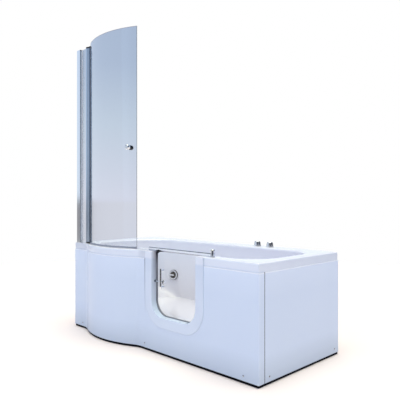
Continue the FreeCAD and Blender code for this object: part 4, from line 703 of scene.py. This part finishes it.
class Skin:
    """Points and faces of one new piece."""

    def __init__(self):
        self.points, self.faces = [], []

    def rows(self, rows, closed=True):
        """Skins rows of points that run the same way."""
        first = len(self.points)
        size = len(rows[0])
        for row in rows:
            self.points.extend(row)
        for r in range(len(rows) - 1):
            for i in range(size if closed else size - 1):
                a = first + r * size + i
                b = first + r * size + (i + 1) % size
                self.faces.append((a, b, b + size, a + size))

    def piece(self, name, material, slot, body, *stands_for):
        mesh = bpy.data.meshes.new(name)
        mesh.from_pydata(self.points, [], self.faces)
        mesh.materials.append(material)
        mesh.shade_smooth()
        mesh.set_sharp_from_angle(angle=SHARP)
        piece = bpy.data.objects.new(name, mesh)
        bpy.context.scene.collection.objects.link(piece)
        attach(piece, body)
        if stands_for:
            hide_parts(*stands_for)


def turns_of(count):
    """Angles of so many equal steps round a circle."""
    return [2.0 * math.pi * i / count for i in range(count)]


def ring_row(at, radii, heights):
    """Points round an upright axis, each with its own radius and height."""
    return [(at.x + r * math.cos(t), at.y + r * math.sin(t), z)
            for t, r, z in zip(turns_of(len(radii)), radii, heights)]


def level_row(at, radius, z, sides):
    return ring_row(at, [radius] * sides, [z] * sides)


def uprights(node):
    """Middle, lowest and highest height and radius of each upright solid of a node."""
    groups = []
    for vertex in NODES[node].data.vertices:
        for group in groups:
            if (vertex.co.xy - group[0].xy).length < NEAR:
                group.append(vertex.co)
                break
        else:
            groups.append([vertex.co])
    found = []
    for group in groups:
        xs, ys, zs = zip(*group)
        middle = Vector(((min(xs) + max(xs)) / 2.0, (min(ys) + max(ys)) / 2.0, 0.0))
        found.append((middle, min(zs), max(zs), (max(xs) - min(xs)) / 2.0))
    return found


def helix(skin, at, low, high, crest, root, pitch):
    """Thread from a low to a high end, as a crest and a root line that climb together."""
    count = int((high - low) / pitch * STEPS_A_TURN)
    crests, roots = [], []
    for i in range(count + 1):
        turn = 2.0 * math.pi * i / STEPS_A_TURN
        across = Vector((math.cos(turn), math.sin(turn), 0.0))
        climb = low + pitch * i / STEPS_A_TURN
        crests.append(at + across * crest + Vector((0.0, 0.0, climb)))
        roots.append(at + across * root + Vector((0.0, 0.0, min(climb + pitch / 2.0, high))))
    skin.rows((crests, roots), closed=False)
    skin.rows((roots[:-STEPS_A_TURN], crests[STEPS_A_TURN:]), closed=False)


def threaded_studs():
    """Studs of the feet: a core with a tapered tip, and a thread round it."""
    skin = Skin()
    for at, low, high, radius in uprights("foot_studs"):
        root = radius - STUD_DEPTH
        centre = radius * STUD_CENTRE_SHARE
        shoulder = high - STUD_PITCH
        helix(skin, at, low, shoulder, radius, root, STUD_PITCH)
        core = ((centre, low), (root, low), (root, shoulder), (root * STUD_TIP_SHARE, high), (centre, high))
        skin.rows([level_row(at, r, z, STEPS_A_TURN) for r, z in core])
    skin.piece("threaded_studs", ZINC, "fixings", "tub", "foot_studs")


def tail_threads():
    """Threads round the tails of both valves."""
    skin = Skin()
    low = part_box("hot_valve")[0].z
    for joint in ("hot_turn", "cold_turn"):
        at = Vector((*JOINTS[joint]["pos_m"][:2], 0.0))
        helix(skin, at, low + TAIL_PITCH / 2.0, low + TAIL_THREAD_H, TAIL_CREST_R, TAIL_ROOT_R, TAIL_PITCH)
    skin.piece("tail_threads", BRASS, "valve_brass", "tub")


def hex_nuts(name, node, bore, material, slot):
    """Six-sided nuts with their corners turned off at both ends."""
    skin = Skin()
    side = math.pi / 3.0
    for at, low, high, corner in uprights(node):
        flat = corner * math.cos(side / 2.0)
        face = flat * NUT_FACE_SHARE
        reach = [flat / math.cos(t % side - side / 2.0) for t in turns_of(NUT_SIDES)]
        drop = [(r - flat) * math.tan(NUT_CHAMFER) for r in reach]
        skin.rows((
            level_row(at, bore, low, NUT_SIDES),
            level_row(at, face, low, NUT_SIDES),
            ring_row(at, reach, [low + d for d in drop]),
            ring_row(at, reach, [high - d for d in drop]),
            level_row(at, face, high, NUT_SIDES),
            level_row(at, bore, high, NUT_SIDES),
            level_row(at, bore, low, NUT_SIDES),
        ))
    skin.piece(name, material, slot, "tub", node)


def seal_corner():
    """Moulded end of the door gasket: a hollow-edged gusset in the closing corner, with eased faces; its
    black also stands for painted shade in that corner.
    """
    lower = []
    for i in range(CORNER_STEPS + 1):
        way = i / CORNER_STEPS
        drop = CORNER_TIP + (CORNER_H - CORNER_TIP) * (1.0 - way) ** CORNER_HOLLOW
        lower.append((LIP_X + CORNER_W * way, CORNER_TOP_Z - drop))
    outline = lower + [(x, CORNER_TOP_Z) for x, z in reversed(lower)]
    middle_x, middle_z = [sum(numbers) / len(outline) for numbers in zip(*outline)]

    def row(y, share):
        return [(middle_x + (x - middle_x) * share, y, middle_z + (z - middle_z) * share)
                for x, z in outline]

    skin = Skin()
    skin.rows((
        row(CORNER_FRONT_Y, CORNER_EASE_SHARE),
        row(CORNER_FRONT_Y + CORNER_EASE, 1.0),
        row(CORNER_BACK_Y - CORNER_EASE, 1.0),
        row(CORNER_BACK_Y, CORNER_EASE_SHARE),
    ))
    points = range(len(skin.points))
    skin.faces.append(tuple(points[:len(outline)]))
    skin.faces.append(tuple(reversed(points[-len(outline):])))
    skin.piece("seal_corner", CORNER_RUBBER, "seal_rubber", "tub")


seal_corner()
threaded_studs()
tail_threads()
hex_nuts("foot_lock_nuts", "lock_nuts", LOCK_NUT_BORE_R, ZINC, "fixings")
hex_nuts("rim_valve_nuts", "valve_nuts", VALVE_NUT_BORE_R, BRASS, "valve_brass")


# Stage, light and camera

def floor():
    """Round pale floor, wide enough that its edge is lost in the backdrop."""
    mesh = bpy.data.meshes.new("floor")
    rim = level_row(Vector(ORIGIN), FLOOR_R, -FLOOR_DROP, FLOOR_SIDES)
    mesh.from_pydata(rim, [], [tuple(range(FLOOR_SIDES))])
    plane = bpy.data.objects.new("floor", mesh)
    bpy.context.scene.collection.objects.link(plane)
    f = Finish("floor", Base_Color=(*FLOOR_COLOUR, 1.0), Roughness=0.9, Specular_IOR_Level=0.1)
    mesh.materials.append(f.material)


def sky():
    """Daylight on matt surfaces, a graded sky through the glass and in the metal, and a white backdrop."""
    world = bpy.data.worlds.new("sky")
    world.use_nodes = True
    nodes, links = world.node_tree.nodes, world.node_tree.links
    nodes.clear()
    split = nodes.new("ShaderNodeSeparateXYZ")
    links.new(nodes.new("ShaderNodeTexCoord").outputs["Generated"], split.inputs["Vector"])
    path = nodes.new("ShaderNodeLightPath")

    def part_way(axis, low, high):
        node = nodes.new("ShaderNodeMapRange")
        node.inputs["From Min"].default_value = low
        node.inputs["From Max"].default_value = high
        links.new(split.outputs[axis], node.inputs["Value"])
        return node.outputs["Result"]

    height = part_way("Z", -1.0, 1.0)

    def plain(colour):
        node = nodes.new("ShaderNodeBackground")
        node.inputs["Color"].default_value = (*colour, 1.0)
        return node.outputs["Background"]

    def graded(stops):
        ramp = nodes.new("ShaderNodeValToRGB")
        marks = ramp.color_ramp.elements
        while len(marks) < len(stops):
            marks.new(1.0)
        for mark, (level, colour) in zip(marks, stops):
            mark.position = (level + 1.0) / 2.0
            mark.color = (*colour, 1.0)
        node = nodes.new("ShaderNodeBackground")
        links.new(height, ramp.inputs["Fac"])
        links.new(ramp.outputs["Color"], node.inputs["Color"])
        return node.outputs["Background"]

    def choice(factor, otherwise, when):
        node = nodes.new("ShaderNodeMixShader")
        links.new(factor, node.inputs["Fac"])
        links.new(otherwise, node.inputs[1])
        links.new(when, node.inputs[2])
        return node.outputs["Shader"]

    mirrored = choice(part_way("X", SHADE_FROM, SHADE_TO), graded(MIRRORED_LIT), graded(MIRRORED_SHADED))
    seen = choice(path.outputs["Is Glossy Ray"], plain(DAYLIGHT), mirrored)
    seen = choice(path.outputs["Is Transmission Ray"], seen, graded(SEEN_THROUGH_GLASS))
    seen = choice(path.outputs["Is Camera Ray"], seen, plain(BACKDROP))
    links.new(seen, nodes.new("ShaderNodeOutputWorld").inputs["Surface"])
    bpy.context.scene.world = world


def overhead():
    """Wide, soft light from above, tilted a little along the bath."""
    lamp = bpy.data.lights.new("overhead", "SUN")
    lamp.energy = OVERHEAD_STRENGTH
    lamp.color = OVERHEAD_COLOUR
    lamp.angle = OVERHEAD_SPREAD
    holder = bpy.data.objects.new("overhead", lamp)
    holder.rotation_euler.y = OVERHEAD_TILT
    bpy.context.scene.collection.objects.link(holder)


def front_fill():
    """Large bluish light before the front panel, kept out of the reflections."""
    lamp = bpy.data.lights.new("front_fill", "AREA")
    lamp.energy = FRONT_FILL_POWER
    lamp.color = FRONT_FILL_COLOUR
    lamp.size = FRONT_FILL_SIZE
    holder = bpy.data.objects.new("front_fill", lamp)
    holder.location = FRONT_FILL_AT
    holder.rotation_euler = (-FRONT_FILL_AT).to_track_quat("-Z", "Y").to_euler()
    holder.visible_glossy = False
    bpy.context.scene.collection.objects.link(holder)


def camera():
    data = bpy.data.cameras.new("camera")
    data.sensor_fit = "HORIZONTAL"
    data.angle = FIELD_OF_VIEW
    holder = bpy.data.objects.new("camera", data)
    holder.location = CAMERA_AT
    holder.rotation_euler = CAMERA_TOWARDS.to_track_quat("-Z", "Y").to_euler()
    bpy.context.scene.collection.objects.link(holder)
    bpy.context.scene.camera = holder


floor()
sky()
overhead()
front_fill()
camera()
bpy.context.scene.view_settings.view_transform = "Standard"
